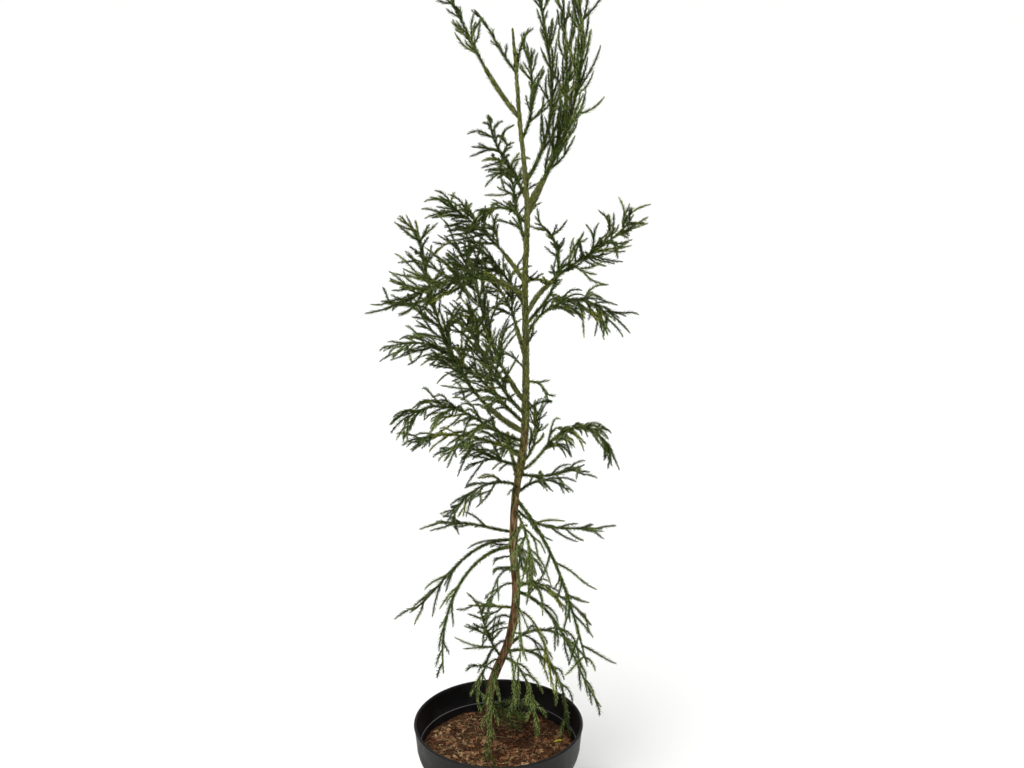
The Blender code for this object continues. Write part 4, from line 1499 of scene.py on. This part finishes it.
@dataclass(frozen=True)
class NeedleForm:
    """Short awl-shaped needles, keeled along the back, that curve in towards their shoot's tip.

    Length, lean and spacing are given low in the crown and high in it. The last needles, over the
    share tip_share of a shoot, shrink to tip_size and close up by tip_closing; the first, over
    root_reach, grow from root_size. Angles are in degrees, and the first needle's place round the
    shoot follows from the shoot's length, by start_turn degrees for a metre.
    """

    length_low: float
    length_high: float
    lean_low: float
    lean_high: float
    spacing_low: float
    spacing_high: float
    width: float = 0.95 * MM
    tip_size: float = 0.5
    tip_share: float = 0.3
    tip_closing: float = 0.6
    root_size: float = 0.55
    root_reach: float = 6 * MM
    curl: float = 22.0
    low: float = 0.16
    high: float = 0.70
    start_turn: float = 9e4
    turn_scatter: float = 14.0
    lean_scatter: float = 6.0
    size_range: tuple = (0.8, 1.15)
    tone_scatter: float = 0.3
    top_tone: float = 1.5
    sunk: float = 0.3 * MM

    def share_of(self, height: np.ndarray | float) -> np.ndarray | float:
        """How far up the crown a height is, from nought to one."""
        return np.clip((height - self.low) / (self.high - self.low), 0, 1)

    def clothe(self, shoot: Shoot, chance: np.random.Generator, heap: Heap) -> int:
        """Set needles in a spiral round a shoot.

        Args:
            shoot: the shoot, from its root to its tip.
            chance: the generator of small differences.
            heap: what the needles are added to.

        Returns:
            How many needles were set.
        """
        line = shoot.line
        total = length_of(line)
        crown = self.share_of(line[:, 2].mean())
        spacing = self.spacing_low + (self.spacing_high - self.spacing_low) * crown
        count = max(2, int(total / spacing))
        share = (np.arange(count) + 0.5) / count
        where = share * (len(line) - 1)
        i = np.minimum(where.astype(int), len(line) - 2)
        along, across, up = line_frames(line)
        middle = blend_rows(line, where)
        forward = blend_rows(along, where)
        forward /= np.linalg.norm(forward, axis=1)[:, None]
        scatter = chance.uniform(-self.turn_scatter, self.turn_scatter, count)
        turn = np.radians(np.arange(count) * GOLDEN_TURN + scatter + total * self.start_turn)
        out = across[i] * np.cos(turn)[:, None] + up[i] * np.sin(turn)[:, None]
        out -= forward * np.sum(out * forward, axis=1)[:, None]
        out /= np.linalg.norm(out, axis=1)[:, None]
        lean, size = self.draw_sizes(share, total, self.share_of(middle[:, 2]), chance)
        radius = shoot.root_radius + (shoot.tip_radius - shoot.root_radius) * share
        foot = middle + out * (radius[:, None] - self.sunk)
        self.add_needles(foot, forward, out, lean, size, chance, heap)
        return count

    def draw_sizes(self, share: np.ndarray, total: float, crown: np.ndarray,
                   chance: np.random.Generator) -> tuple[np.ndarray, np.ndarray]:
        """Draw the lean in radians and the length of each needle of a shoot.

        Args:
            share: how far along the shoot each stands.
            total: the shoot's length.
            crown: how far up the crown each stands.
            chance: the generator of small differences.

        Returns:
            The leans and the lengths, as columns.
        """
        near_tip = np.clip((share - 1 + self.tip_share) / self.tip_share, 0, 1)
        near_root = np.clip(share * total / self.root_reach, self.root_size, 1)
        lean = self.lean_low + (self.lean_high - self.lean_low) * crown
        lean *= 1 - self.tip_closing * near_tip ** 2
        lean += chance.normal(0, self.lean_scatter, len(share))
        size = self.length_low + (self.length_high - self.length_low) * crown
        shrink = 1 - (1 - self.tip_size) * near_tip
        size *= near_root * shrink * chance.uniform(*self.size_range, len(share))
        return np.radians(lean)[:, None], size[:, None]

    def add_needles(self, foot: np.ndarray, forward: np.ndarray, out: np.ndarray, lean: np.ndarray,
                    size: np.ndarray, chance: np.random.Generator, heap: Heap) -> None:
        """Model needles, a row each.

        Args:
            foot: where each stands on its shoot.
            forward: the shoot's direction there.
            out: the way out from the shoot there.
            lean: its angle from forward to out, in radians.
            size: its length.
            chance: the generator of small differences.
            heap: what they are added to.
        """
        tip_lean = lean - math.radians(self.curl)
        elbow = foot + (forward * np.cos(lean) + out * np.sin(lean)) * size * 0.5
        tip = elbow + (forward * np.cos(tip_lean) + out * np.sin(tip_lean)) * size * 0.5
        side = np.cross(forward, out)
        back = out * np.cos(lean) - forward * np.sin(lean)
        half = self.width / 2
        stations = (foot, elbow, tip)
        points = np.stack([stations[k] + side * half * across + back * half * rise
                           for k, across, rise, _ in NEEDLE_CORNERS], axis=1).reshape(-1, 3)
        firsts = len(NEEDLE_CORNERS) * np.arange(len(foot))
        faces = (NEEDLE_FACES[None] + firsts[:, None, None]).reshape(-1, 3)
        # Painted shade at each foot and painted light towards the tip and the outer back, with a
        # random tone for each needle
        tones = np.array([corner[3] for corner in NEEDLE_CORNERS])
        tones = tones + chance.normal(0, self.tone_scatter, len(foot))[:, None]
        heap.add(points, faces, np.clip(tones, 0, self.top_tone).ravel())


NEEDLES = {
    Kind.TRUNK: NeedleForm(6.0 * MM, 5.0 * MM, 22, 20, 0.50 * MM, 0.48 * MM, width=1.4 * MM,
                           tip_share=0.05),
    Kind.BOUGH: NeedleForm(5.0 * MM, 4.4 * MM, 30, 26, 0.55 * MM, 0.55 * MM, width=1.2 * MM,
                           tip_size=1.0),
    Kind.STEM: NeedleForm(4.5 * MM, 4.4 * MM, 44, 36, 0.64 * MM, 0.62 * MM),
    Kind.TWIG: NeedleForm(4.5 * MM, 4.4 * MM, 46, 37, 0.68 * MM, 0.66 * MM),
    Kind.FORK: NeedleForm(4.3 * MM, 4.3 * MM, 46, 37, 0.68 * MM, 0.68 * MM),
    Kind.SPRIG: NeedleForm(4.8 * MM, 4.8 * MM, 58, 58, 0.95 * MM, 0.95 * MM, tip_share=0.15,
                           curl=12.0),
}


@dataclass
class Crown:
    """All the foliage: the shoots' skins and their needles, joined by kind and by green.

    A new piece of needles is begun when one has full_triangles.
    """

    growth: Growth
    seed: int = 77
    full_triangles: int = 170_000
    skin_step: float = 5 * MM
    stem_sides: int = 6
    shoot_sides: int = 5

    def build(self) -> None:
        """Make the joined pieces and dress them."""
        chance = np.random.default_rng(self.seed)
        skins = Heap()
        needles = {shade: [Heap()] for shade in Shade}
        total = 0
        for shoot in self.growth.shoots:
            if shoot.kind not in (Kind.TRUNK, Kind.BOUGH):
                line = resample(shoot.line, self.skin_step)
                radii = np.linspace(shoot.root_radius, shoot.tip_radius, len(line))
                sides = self.stem_sides if shoot.kind is Kind.STEM else self.shoot_sides
                skins.add(*tube(line, radii, sides))
            heaps = needles[shoot.shade]
            if heaps[-1].count / len(NEEDLE_CORNERS) * len(NEEDLE_FACES) > self.full_triangles:
                heaps.append(Heap())
            total += NEEDLES[shoot.kind].clothe(shoot, chance, heaps[-1])
        masses = ["mass_" + branch.name for branch in BRANCHES]
        dress(skins.build("shoots", True), GreenShoot().material(), masses)
        for shade, heaps in needles.items():
            material = NeedleCuticle().material(shade)
            for number, heap in enumerate(heaps, 1):
                if heap.count:
                    piece = heap.build(f"needles_{shade.name.lower()}_{number}", False)
                    dress(piece, material, masses)
        LOG.info("crown: %d shoots, %d needles", len(self.growth.shoots), total)


@dataclass
class BarkTube:
    """A limb's bark as a fine tube, raised in upright strips and cracks.

    relief is how far they stand out, but no more than the share deepest of the limb's radius. The
    cracks lie between the strips, and all of the bark is sunk a little, to leave its middle level.
    """

    sides: int
    ring_step: float
    relief: float
    deepest: float = 0.16
    strip_width: float = 1.3 * MM
    strip_length: float = 11 * MM
    strip_share: float = 0.7
    crack_depth: float = 2.2
    lump_pitch: float = 160.0
    lump_squeeze: float = 0.5
    lump_share: float = 0.6
    sunk: float = 0.4

    def raise_bark(self, x: float, y: float, z: float) -> float:
        """Work out how far the bark stands out at a place.

        Args:
            x: the place along X.
            y: the place along Y.
            z: its height.

        Returns:
            The rise, from about minus one to one.
        """
        where = Vector((x / self.strip_width, y / self.strip_width, z / self.strip_length))
        strips = 1 - self.crack_depth * abs(noise.noise(where))
        lumps = noise.noise(Vector((x, y, z * self.lump_squeeze)) * self.lump_pitch)
        return self.strip_share * strips + self.lump_share * lumps - self.sunk

    def add_tube(self, name: str, rise: float) -> bpy.types.Object:
        """Add a straight upright cylinder of radius one on the origin, cut into rings.

        Args:
            name: the piece's name.
            rise: its length, whose rings are ring_step apart.

        Returns:
            The cylinder.
        """
        bpy.ops.object.select_all(action="DESELECT")
        bpy.ops.mesh.primitive_cylinder_add(vertices=self.sides, radius=1.0, depth=rise,
                                            location=(0, 0, rise / 2))
        piece = start_piece(name)
        mesh = piece.data
        bpy.ops.object.mode_set(mode="EDIT")
        bpy.ops.mesh.select_mode(type="EDGE")
        bpy.ops.mesh.select_all(action="DESELECT")
        bpy.ops.object.mode_set(mode="OBJECT")
        for edge in mesh.edges:
            low, high = (mesh.vertices[k].co.z for k in edge.vertices)
            edge.select = abs(low - high) > rise / 2
        bpy.ops.object.mode_set(mode="EDIT")
        bpy.ops.mesh.subdivide(number_cuts=max(2, round(rise / self.ring_step)))
        bpy.ops.object.mode_set(mode="OBJECT")
        settle(piece)
        return piece

    def wrap(self, piece: bpy.types.Object, rise: float, line: np.ndarray,
             radii: np.ndarray) -> None:
        """Lay a straight cylinder along a line and raise its bark.

        Args:
            piece: the cylinder, of radius one.
            rise: its length.
            line: the limb's middle line, evenly spaced.
            radii: its radius at each point.
        """
        points = get_points(piece)
        _, across, up = line_frames(line)
        where = np.clip(points[:, 2] / rise, 0, 1) * (len(line) - 1)
        middle = blend_rows(line, where)
        radius = blend_rows(np.asarray(radii)[:, None], where)
        offset = blend_rows(across, where) * points[:, :1] + blend_rows(up, where) * points[:, 1:2]
        rough = np.array([self.raise_bark(*p) for p in middle + offset * radius])[:, None]
        depth = np.minimum(self.relief, radius * self.deepest)
        set_points(piece, middle + offset * (radius + rough * depth))


@dataclass
class Trunk:
    """The trunk, whole from its flat foot on the soil to its tip."""

    line: TrunkLine
    bark: BarkTube
    stations: int = 200

    def build(self) -> None:
        """Model the bark and dress it."""
        low = self.line.soil_top
        rise = self.line.tip - low
        found = [self.line.at(height) for height in np.linspace(low, self.line.tip, self.stations)]
        piece = self.bark.add_tube("trunk_bark", rise)
        line = np.array([row[0] for row in found])
        self.bark.wrap(piece, rise, line, np.array([row[2] for row in found]))
        points = get_points(piece)
        points[:, 2] = np.maximum(points[:, 2], low)
        set_points(piece, points)
        bpy.ops.object.shade_smooth_by_angle(angle=BARK_ANGLE)
        dress(piece, CedarBark().material(), ["trunk"])


@dataclass
class Boughs:
    """The bare limbs between the trunk and the foot of their masses."""

    growth: Growth
    bark: BarkTube
    stations: int = 24
    step: float = 2 * MM

    def build_bough(self, branch: Branch) -> bpy.types.Object:
        """Model the bark of one bough.

        Args:
            branch: the bough's branch.

        Returns:
            The piece.
        """
        stem = self.growth.stem_line(branch)
        shares = np.linspace(0, branch.bough, self.stations)
        line = np.array([at_share(stem, share)[0] for share in shares])
        line = resample(self.growth.rooted(branch, line), self.step)
        ends = (self.growth.stem_radius(branch, share) for share in (0.0, branch.bough))
        rise = branch.length * branch.bough
        piece = self.bark.add_tube("bark_" + branch.name, rise)
        self.bark.wrap(piece, rise, line, np.linspace(*ends, len(line)))
        return piece

    def build(self) -> None:
        """Model each bough, join them and dress them."""
        branches = [branch for branch in BRANCHES if branch.bough]
        join([self.build_bough(branch) for branch in branches])
        joined = start_piece("bough_bark")
        bpy.ops.object.shade_smooth_by_angle(angle=BARK_ANGLE)
        finish = CedarBark("bough_bark", brown_top=0.2, green_from=0.4)
        dress(joined, finish.material(), ["bough_" + branch.name for branch in branches])


@dataclass
class NurseryPot:
    """The pot: a turned shell with a rolled lip, an inner ledge and a ring of drain holes."""

    form: PotForm
    sides: int = 128
    drain_holes: int = 6
    drain_radius: float = 0.004
    drain_ring: float = 0.052
    foot_edge: float = 1.2 * MM
    ridge: float = 0.6 * MM
    collar_steps: tuple = (0.2, 0.4, 0.6, 0.8, 0.95)
    lip_turns: tuple = tuple(-30 + 27.5 * k for k in range(9))
    highlight_width: float = 1.1 * MM
    highlight_rise: float = 0.2 * MM

    def outline(self) -> list[tuple[float, float]]:
        """List the rings up the outside, over the lip and down the inside.

        Returns:
            The radius and the height of each ring.
        """
        form = self.form
        low, high = form.shoulder, form.collar
        heights = [self.foot_edge, low * 0.5, low]
        heights += [low + (high - low) * t for t in self.collar_steps]
        rings = [(form.outer_radius(height), height) for height in heights]
        foot = form.collar_foot_radius + self.ridge
        bead = form.height - form.lip
        neck = form.outer_radius(bead)
        rings += [(foot, high), (foot, high + MM), (neck - form.wall * 0.25, bead - form.lip * 0.6)]
        roll = form.lip / 2
        for turn in map(math.radians, self.lip_turns):
            rings.append((form.top_radius - roll + roll * math.cos(turn),
                          bead + roll + roll * math.sin(turn)))
        inner = form.collar_foot_radius - form.wall * 0.8
        shelf = high + form.wall
        rings += [
            (neck - form.wall, bead - form.lip * 0.5),
            (inner, shelf + self.ridge),
            (inner - 0.4 * MM, shelf),
            (form.collar_foot_radius - form.wall - form.ledge, shelf),
        ]
        rings += [(form.outer_radius(height) - form.wall, height) for height in (low + 8 * MM, low)]
        return rings + [(form.base_radius - form.wall, form.floor)]

    def build(self) -> None:
        """Model the pot and dress it."""
        radius = self.form.base_radius - self.foot_edge
        piece = start_disc("nursery_pot", self.sides, radius, 0.0)
        raise_rings(self.outline(), radius, 0.0)
        close_disc()
        self.drill(piece)
        settle(piece)
        bpy.ops.object.shade_smooth_by_angle(angle=POT_ANGLE)
        dress(piece, MouldedPolypropylene().material(), ["pot"])
        self.add_ledge_highlight()

    def add_ledge_highlight(self) -> None:
        """Lay a fine round bead along the edge of the inner ledge, which carries a painted
        highlight.
        """
        form = self.form
        bpy.ops.object.select_all(action="DESELECT")
        # A bead that carries the painted highlight of the ledge's edge
        bpy.ops.mesh.primitive_torus_add(
            major_radius=form.collar_foot_radius - form.wall - form.ledge * 0.6,
            minor_radius=self.highlight_width / 2, major_segments=self.sides, minor_segments=8,
            location=(0, 0, form.collar + form.wall + self.highlight_rise))
        piece = start_piece("ledge_edge")
        settle(piece)
        bpy.ops.object.shade_smooth_by_angle(angle=FINE_ANGLE)
        dress(piece, PaintedLedgeHighlight().material(), [])

    def drill(self, piece: bpy.types.Object) -> None:
        """Cut the drain holes through the floor.

        Args:
            piece: the pot.
        """
        drills = []
        for k in range(self.drain_holes):
            turn = 2 * math.pi * (k + 0.5) / self.drain_holes
            bpy.ops.mesh.primitive_cylinder_add(
                vertices=24, radius=self.drain_radius, depth=3 * self.form.floor,
                location=(self.drain_ring * math.cos(turn), self.drain_ring * math.sin(turn),
                          self.form.floor / 2))
            drills.append(bpy.context.object)
        cutter = join(drills)
        cut = piece.modifiers.new("drain_holes", "BOOLEAN")
        cut.operation = "DIFFERENCE"
        cut.object = cutter
        settle(piece)
        bpy.data.objects.remove(cutter, do_unlink=True)


# A chip of bark: its corners by the signs of x, y and z, and its triangles
CHIP_SIGNS = [(x, y, z) for x in (-1, 1) for y in (-1, 1) for z in (-1, 1)]
CHIP_FACES = np.array([[0, 1, 3], [0, 3, 2], [4, 6, 7], [4, 7, 5], [0, 4, 5], [0, 5, 1],
                       [2, 3, 7], [2, 7, 6], [0, 2, 6], [0, 6, 4], [1, 5, 7], [1, 7, 3]])

# A crumb: its ends along x, y and z, and its triangles
CRUMB_ENDS = np.array([[1, 0, 0], [-1, 0, 0], [0, 1, 0], [0, -1, 0], [0, 0, 1], [0, 0, -1]], float)
CRUMB_FACES = np.array([[0, 2, 4], [2, 1, 4], [1, 3, 4], [3, 0, 4],
                        [2, 0, 5], [1, 2, 5], [3, 1, 5], [0, 3, 5]])

# The finishes of the soil's pieces, by their names
CHIP_KINDS = ("bark_chips_dark", "bark_chips_red", "bark_chips_tan")
SOIL_FINISHES = {
    "peat_bed": PlantMatter("moist_peat", "#1b0e06", "#412918", "#5f402a", grain_mm=1.6),
    "bark_chips_dark": PlantMatter("dark_bark", "#25150b", "#52331f", "#714d34"),
    "bark_chips_red": PlantMatter("red_bark", "#4b2a15", "#7d5437", "#a07a59"),
    "bark_chips_tan": PlantMatter("weathered_wood", "#5a402a", "#957653", "#bda380"),
    "straw_fibres": PlantMatter("straw_fibre", "#4b3826", "#806a4b", "#a9946e", grain_mm=6.0),
    "peat_crumbs": PlantMatter("peat_crumb", "#20140c", "#453020", "#6a4f38", grain_mm=3.0),
    "fallen_leaf": PlantMatter("yellowed_leaf", "#7d7420", "#a39a2c", "#b8ae45", grain_mm=3.0,
                               roughness=0.6),
}


def turned(points: np.ndarray, yaw: float, pitch: float, roll: float) -> np.ndarray:
    """Turn points about the origin.

    Args:
        points: rows of x, y and z.
        yaw: the last turn, about Z, in radians.
        pitch: the second turn, about Y.
        roll: the first turn, about X.

    Returns:
        The turned points.
    """
    cr, sr = math.cos(roll), math.sin(roll)
    cp, sp = math.cos(pitch), math.sin(pitch)
    cy, sy = math.cos(yaw), math.sin(yaw)
    about_x = np.array([[1, 0, 0], [0, cr, -sr], [0, sr, cr]])
    about_y = np.array([[cp, 0, sp], [0, 1, 0], [-sp, 0, cp]])
    about_z = np.array([[cy, -sy, 0], [sy, cy, 0], [0, 0, 1]])
    return points @ (about_z @ about_y @ about_x).T


@dataclass
class PottingSoil:
    """Coarse potting soil: a rough peat bed strewn with bark chips, straw fibres and crumbs.

    The bed is level within bare_foot of the trunk's middle and grows to its full roughness over the
    next rough_over. Its lumps are layers of noise, each with its pitch and its height in mm. Each
    pair but leaf_place holds the ends of a range, in mm where its name says so.
    """

    pot: PotForm
    top: float
    foot: np.ndarray
    sides: int = 96
    rings: int = 30
    chips: int = 1150
    fibres: int = 300
    crumbs: int = 2300
    inset: float = 2 * GAP
    bare_foot: float = 0.009
    rough_over: float = 0.02
    sunk: float = 0.6 * MM
    lumps: tuple = ((0.3, 60, 3.6), (1.3, 190, 1.7))
    clump_pitch: float = 70
    clump_edge: tuple = (-0.5, 0.2)
    patch_pitch: float = 45
    chip_mm: tuple = (2.5, 11.5)
    chip_width: tuple = (0.25, 0.6)
    chip_thick_mm: tuple = (0.5, 1.5)
    chip_pitch: tuple = (-0.35, 0.35)
    chip_roll: tuple = (-0.5, 0.5)
    chip_taper: tuple = (0.7, 0.4, 0.6)
    fibre_mm: tuple = (5, 22)
    fibre_bend: tuple = (-1.2, 1.2)
    fibre_radius_mm: tuple = (0.15, 0.45)
    fibre_points: int = 6
    left_share: float = 0.5
    crumb_mm: tuple = (0.5, 1.6)
    crumb_shape: tuple = (0.6, 1.3)
    leaf_place: tuple = (0.068, 0.014)
    leaf_size: tuple = (5.4 * MM, 1.9 * MM, 0.35 * MM)
    leaf_turn: tuple = (6, -5, 14)
    leaf_lift: float = 2.6 * MM
    seed: int = 21

    def edge(self) -> float:
        """The soil's radius at its top."""
        middle = (self.pot.shoulder + self.pot.collar) / 2
        return self.pot.outer_radius(middle) - self.pot.wall - self.inset

    def off_trunk(self, x: float, y: float) -> float:
        """How far a place is beyond the level ground round the trunk's foot."""
        return math.hypot(x - self.foot[0], y - self.foot[1]) - self.bare_foot

    def level(self, x: float, y: float) -> float:
        """Measure the peat bed at a place.

        Args:
            x: the place along X.
            y: the place along Y.

        Returns:
            The height of its top.
        """
        fade = min(max(self.off_trunk(x, y) / self.rough_over, 0.0), 1.0)
        lumps = sum(noise.noise(Vector((x, y, layer)) * pitch) * height * MM
                    for layer, pitch, height in self.lumps)
        return self.top - self.sunk + lumps * fade

    def dress_soil(self, piece: bpy.types.Object, nodes: list[str]) -> None:
        """Dress a piece in the finish of its name."""
        dress(piece, SOIL_FINISHES[piece.name].material(), nodes)

    def add_bed(self) -> None:
        """Model the peat bed, from the pot's floor to its rough top."""
        inset = self.pot.wall + self.inset
        bottom = self.pot.floor + GAP
        radius = self.pot.base_radius - inset
        piece = start_disc("peat_bed", self.sides, radius, bottom)
        walls = [(self.pot.shoulder_radius - inset, self.pot.shoulder), (self.edge(), self.top)]
        raise_rings(walls, radius, bottom)
        for _ in range(self.rings):
            bpy.ops.mesh.inset(thickness=self.edge() / (self.rings + 1))
        close_disc()
        settle(piece)
        points = get_points(piece)
        for row in points:
            if row[2] > self.top - MM:
                row[2] = self.level(row[0], row[1])
        set_points(piece, points)
        bpy.ops.object.shade_smooth_by_angle(angle=FINE_ANGLE)
        self.dress_soil(piece, ["soil"])

    def place(self, draw: random.Random, margin: float) -> tuple[float, float]:
        """Draw a place on the soil, mostly in clumps, off the pot's wall and the trunk's foot.

        Args:
            draw: the seeded source of small differences.
            margin: how far it keeps from the wall.

        Returns:
            The place along X and Y.
        """
        while True:
            out = (self.edge() - margin) * math.sqrt(draw.random())
            turn = draw.uniform(0, 2 * math.pi)
            x = out * math.cos(turn)
            y = out * math.sin(turn)
            clump = noise.noise(Vector((x, y, 4.1)) * self.clump_pitch)
            bare = clump < draw.uniform(*self.clump_edge)
            if self.off_trunk(x, y) > margin * 0.5 and not bare:
                return x, y

    def kind_at(self, draw: random.Random, x: float, y: float) -> str:
        """Draw the kind of a chip, so that like chips lie in patches and pale ones to the left.

        Args:
            draw: the seeded source of small differences.
            x: the place along X.
            y: the place along Y.

        Returns:
            The name of its piece.
        """
        patch = noise.noise(Vector((x, y, 2.2)) * self.patch_pitch)
        pale = 0.10 + 0.30 * (x < -0.01 and y > -0.02)
        weights = (max(0.05, 0.45 - 1.4 * patch), max(0.05, 0.45 + 1.4 * patch), pale)
        return draw.choices(CHIP_KINDS, weights)[0]

    def chip(self, draw: random.Random, heaps: dict[str, Heap]) -> None:
        """Add one bark chip, a bent, tapering splinter, to the heap of its kind.

        Args:
            draw: the seeded source of small differences.
            heaps: the heaps, by the names of their pieces.
        """
        length = draw.uniform(*self.chip_mm) * MM
        width = length * draw.uniform(*self.chip_width)
        thick = draw.uniform(*self.chip_thick_mm) * MM
        x, y = self.place(draw, length * 0.6)
        yaw = draw.uniform(0, math.pi)
        pitch = draw.uniform(*self.chip_pitch)
        roll = draw.uniform(*self.chip_roll)
        heap = heaps[self.kind_at(draw, x, y)]
        sizes = (length, width, thick)
        corners = [[sign * size / 2 * draw.uniform(least, 1.0)
                    for sign, size, least in zip(signs, sizes, self.chip_taper)]
                   for signs in CHIP_SIGNS]
        middle = (x, y, self.level(x, y) + thick * 0.35)
        heap.add(turned(np.array(corners), yaw, pitch, roll) + middle, CHIP_FACES)

    def fibre(self, draw: random.Random, heap: Heap) -> None:
        """Add one straw fibre, bent over the soil.

        Args:
            draw: the seeded source of small differences.
            heap: what it is added to.
        """
        length = draw.uniform(*self.fibre_mm) * MM
        x, y = self.place(draw, length * 0.5)
        if draw.random() < self.left_share:
            x = -abs(x)
        yaw = draw.uniform(0, 2 * math.pi)
        bend = draw.uniform(*self.fibre_bend)
        line = []
        for k in range(self.fibre_points):
            t = k / (self.fibre_points - 1) - 0.5
            way = yaw + bend * t
            px = x + length * t * math.cos(way)
            py = y + length * t * math.sin(way)
            line.append((px, py, self.level(px, py) + (1.0 + 1.4 * (0.25 - t * t)) * MM))
        radius = draw.uniform(*self.fibre_radius_mm) * MM
        heap.add(*tube(np.array(line), np.full(self.fibre_points, radius), 4))

    def crumb(self, draw: random.Random, heap: Heap) -> None:
        """Add one crumb of eight faces.

        Args:
            draw: the seeded source of small differences.
            heap: what it is added to.
        """
        size = draw.uniform(*self.crumb_mm) * MM
        x, y = self.place(draw, 2 * MM)
        ends = CRUMB_ENDS * np.array([[draw.uniform(*self.crumb_shape)] for _ in CRUMB_ENDS]) * size
        ends = turned(ends, draw.uniform(0, 3), draw.uniform(0, 3), 0.0)
        heap.add(ends + (x, y, self.level(x, y) + size * 0.5), CRUMB_FACES)

    def add_leaf(self) -> None:
        """Model the one small yellow leaf on the soil: a thin lens with a fold along it."""
        bpy.ops.object.select_all(action="DESELECT")
        x, y = self.leaf_place
        bpy.ops.mesh.primitive_uv_sphere_add(
            segments=24, ring_count=12, radius=1.0,
            location=(x, y, self.level(x, y) + self.leaf_lift),
            rotation=[math.radians(angle) for angle in self.leaf_turn])
        piece = start_piece("fallen_leaf")
        piece.scale = self.leaf_size
        points = get_points(piece)
        points[:, 2] += 1.6 * np.abs(points[:, 1]) - 1.2 * points[:, 0] ** 2
        set_points(piece, points)
        settle(piece)
        bpy.ops.object.shade_smooth_by_angle(angle=FINE_ANGLE)
        self.dress_soil(piece, [])

    def build(self) -> None:
        """Model the soil and dress it."""
        self.add_bed()
        self.add_leaf()
        draw = random.Random(self.seed)
        heaps = {name: Heap() for name in (*CHIP_KINDS, "straw_fibres", "peat_crumbs")}
        for _ in range(self.chips):
            self.chip(draw, heaps)
        for _ in range(self.fibres):
            self.fibre(draw, heaps["straw_fibres"])
        for _ in range(self.crumbs):
            self.crumb(draw, heaps["peat_crumbs"])
        for name, heap in heaps.items():
            self.dress_soil(heap.build(name, name == "straw_fibres"), [])


@dataclass(frozen=True)
class Studio:
    """A pale floor, soft light and the camera, which looks down on the plant from the front."""

    camera_place: tuple = (0.0152, -1.429, 1.0087)
    pitch: float = 17.87
    lens_mm: float = 50.77
    sensor_mm: float = 36.0
    floor_size: float = 60.0
    key_way: tuple = (0.24, 0.55, -1.2)
    key_width: float = 30.0
    key_strength: float = 2.4
    lamp_size: float = 1.4
    lamps: tuple = (("fill", (1.7, -0.9, 1.4), 4.0), ("rim", (0.4, 1.8, 2.0), 5.0))
    aim: tuple = (0.0, 0.0, 0.5)
    white: str = "#ffffff"
    floor_colour: str = "#f6f6f4"
    bright_to: float = 0.04
    dim_from: float = 0.5
    overhead: float = 0.42

    def build(self) -> None:
        """Set the camera, the floor, the lamps and the sky."""
        scene = bpy.context.scene
        data = bpy.data.cameras.new("camera")
        data.lens = self.lens_mm
        data.sensor_width = self.sensor_mm
        data.dof.use_dof = False
        camera = add_object("camera", data)
        camera.location = self.camera_place
        camera.rotation_euler = (math.radians(90 - self.pitch), 0.0, 0.0)
        scene.camera = camera
        scene.view_settings.view_transform = "Standard"
        self.add_floor()
        for name, place, watts in self.lamps:
            self.add_lamp(name, place, watts)
        self.add_key()
        scene.world = self.make_sky()

    def make_sky(self) -> bpy.types.World:
        """Make a white sky, bright at the horizon, where the floor meets it, and dimmer above.

        Returns:
            The world.
        """
        world = bpy.data.worlds.new("pale_sky")
        world.use_nodes = True
        tree = world.node_tree
        place = add_node(tree, "TexCoord")
        way = add_node(tree, "SeparateXYZ", {"Vector": place.outputs["Generated"]})
        strength = add_node(tree, "MapRange", {
            "Value": way.outputs["Z"], "From Min": self.bright_to, "From Max": self.dim_from,
            "To Min": 1.0, "To Max": self.overhead}, interpolation_type="SMOOTHSTEP")
        feed(tree.nodes["Background"], {"Color": linear(self.white),
                                        "Strength": strength.outputs["Result"]})
        return world

    def add_floor(self) -> None:
        """Lay a plain pale floor under the pot."""
        bpy.ops.object.select_all(action="DESELECT")
        bpy.ops.mesh.primitive_plane_add(size=self.floor_size, location=(0, 0, -0.1 * MM))
        floor = start_piece("floor")
        made, shader = new_material("pale_painted_floor", 0.7, 1.45)
        feed(shader, {"Base Color": linear(self.floor_colour)})
        floor.data.materials.append(made)

    def add_key(self) -> None:
        """Hang the key light, wide and soft, so far off that it lights the whole floor evenly."""
        data = bpy.data.lights.new("key", "SUN")
        data.angle = math.radians(self.key_width)
        data.energy = self.key_strength
        self.point(add_object("key", data), Vector(self.key_way))

    def add_lamp(self, name: str, place: tuple, watts: float) -> None:
        """Hang a square soft lamp that points at the middle of the plant.

        Args:
            name: its name.
            place: where it hangs.
            watts: its power.
        """
        data = bpy.data.lights.new(name, "AREA")
        data.size = self.lamp_size
        data.energy = watts
        lamp = add_object(name, data)
        lamp.location = place
        self.point(lamp, Vector(self.aim) - Vector(place))

    def point(self, lamp: bpy.types.Object, way: Vector) -> None:
        """Turn a lamp so that it shines a way."""
        lamp.rotation_euler = way.to_track_quat("-Z", "Y").to_euler()


def main() -> None:
    """Build every part of the plant in order."""
    logging.basicConfig(level=logging.INFO, format="%(message)s")
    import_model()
    pot_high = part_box("pot")[1]
    soil_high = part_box("soil")[1]
    form = PotForm(height=pot_high.z, top_radius=pot_high.x)
    line = TrunkLine()
    NurseryPot(form).build()
    PottingSoil(form, line.soil_top, line.at(line.soil_top)[0]).build()
    Trunk(line, BarkTube(sides=44, ring_step=2.4 * MM, relief=0.5 * MM)).build()
    growth = Growth(line, form, soil_high.z)
    growth.grow()
    Boughs(growth, BarkTube(sides=18, ring_step=1.6 * MM, relief=0.25 * MM)).build()
    Crown(growth).build()
    Studio().build()


if __name__ == "__main__":
    main()
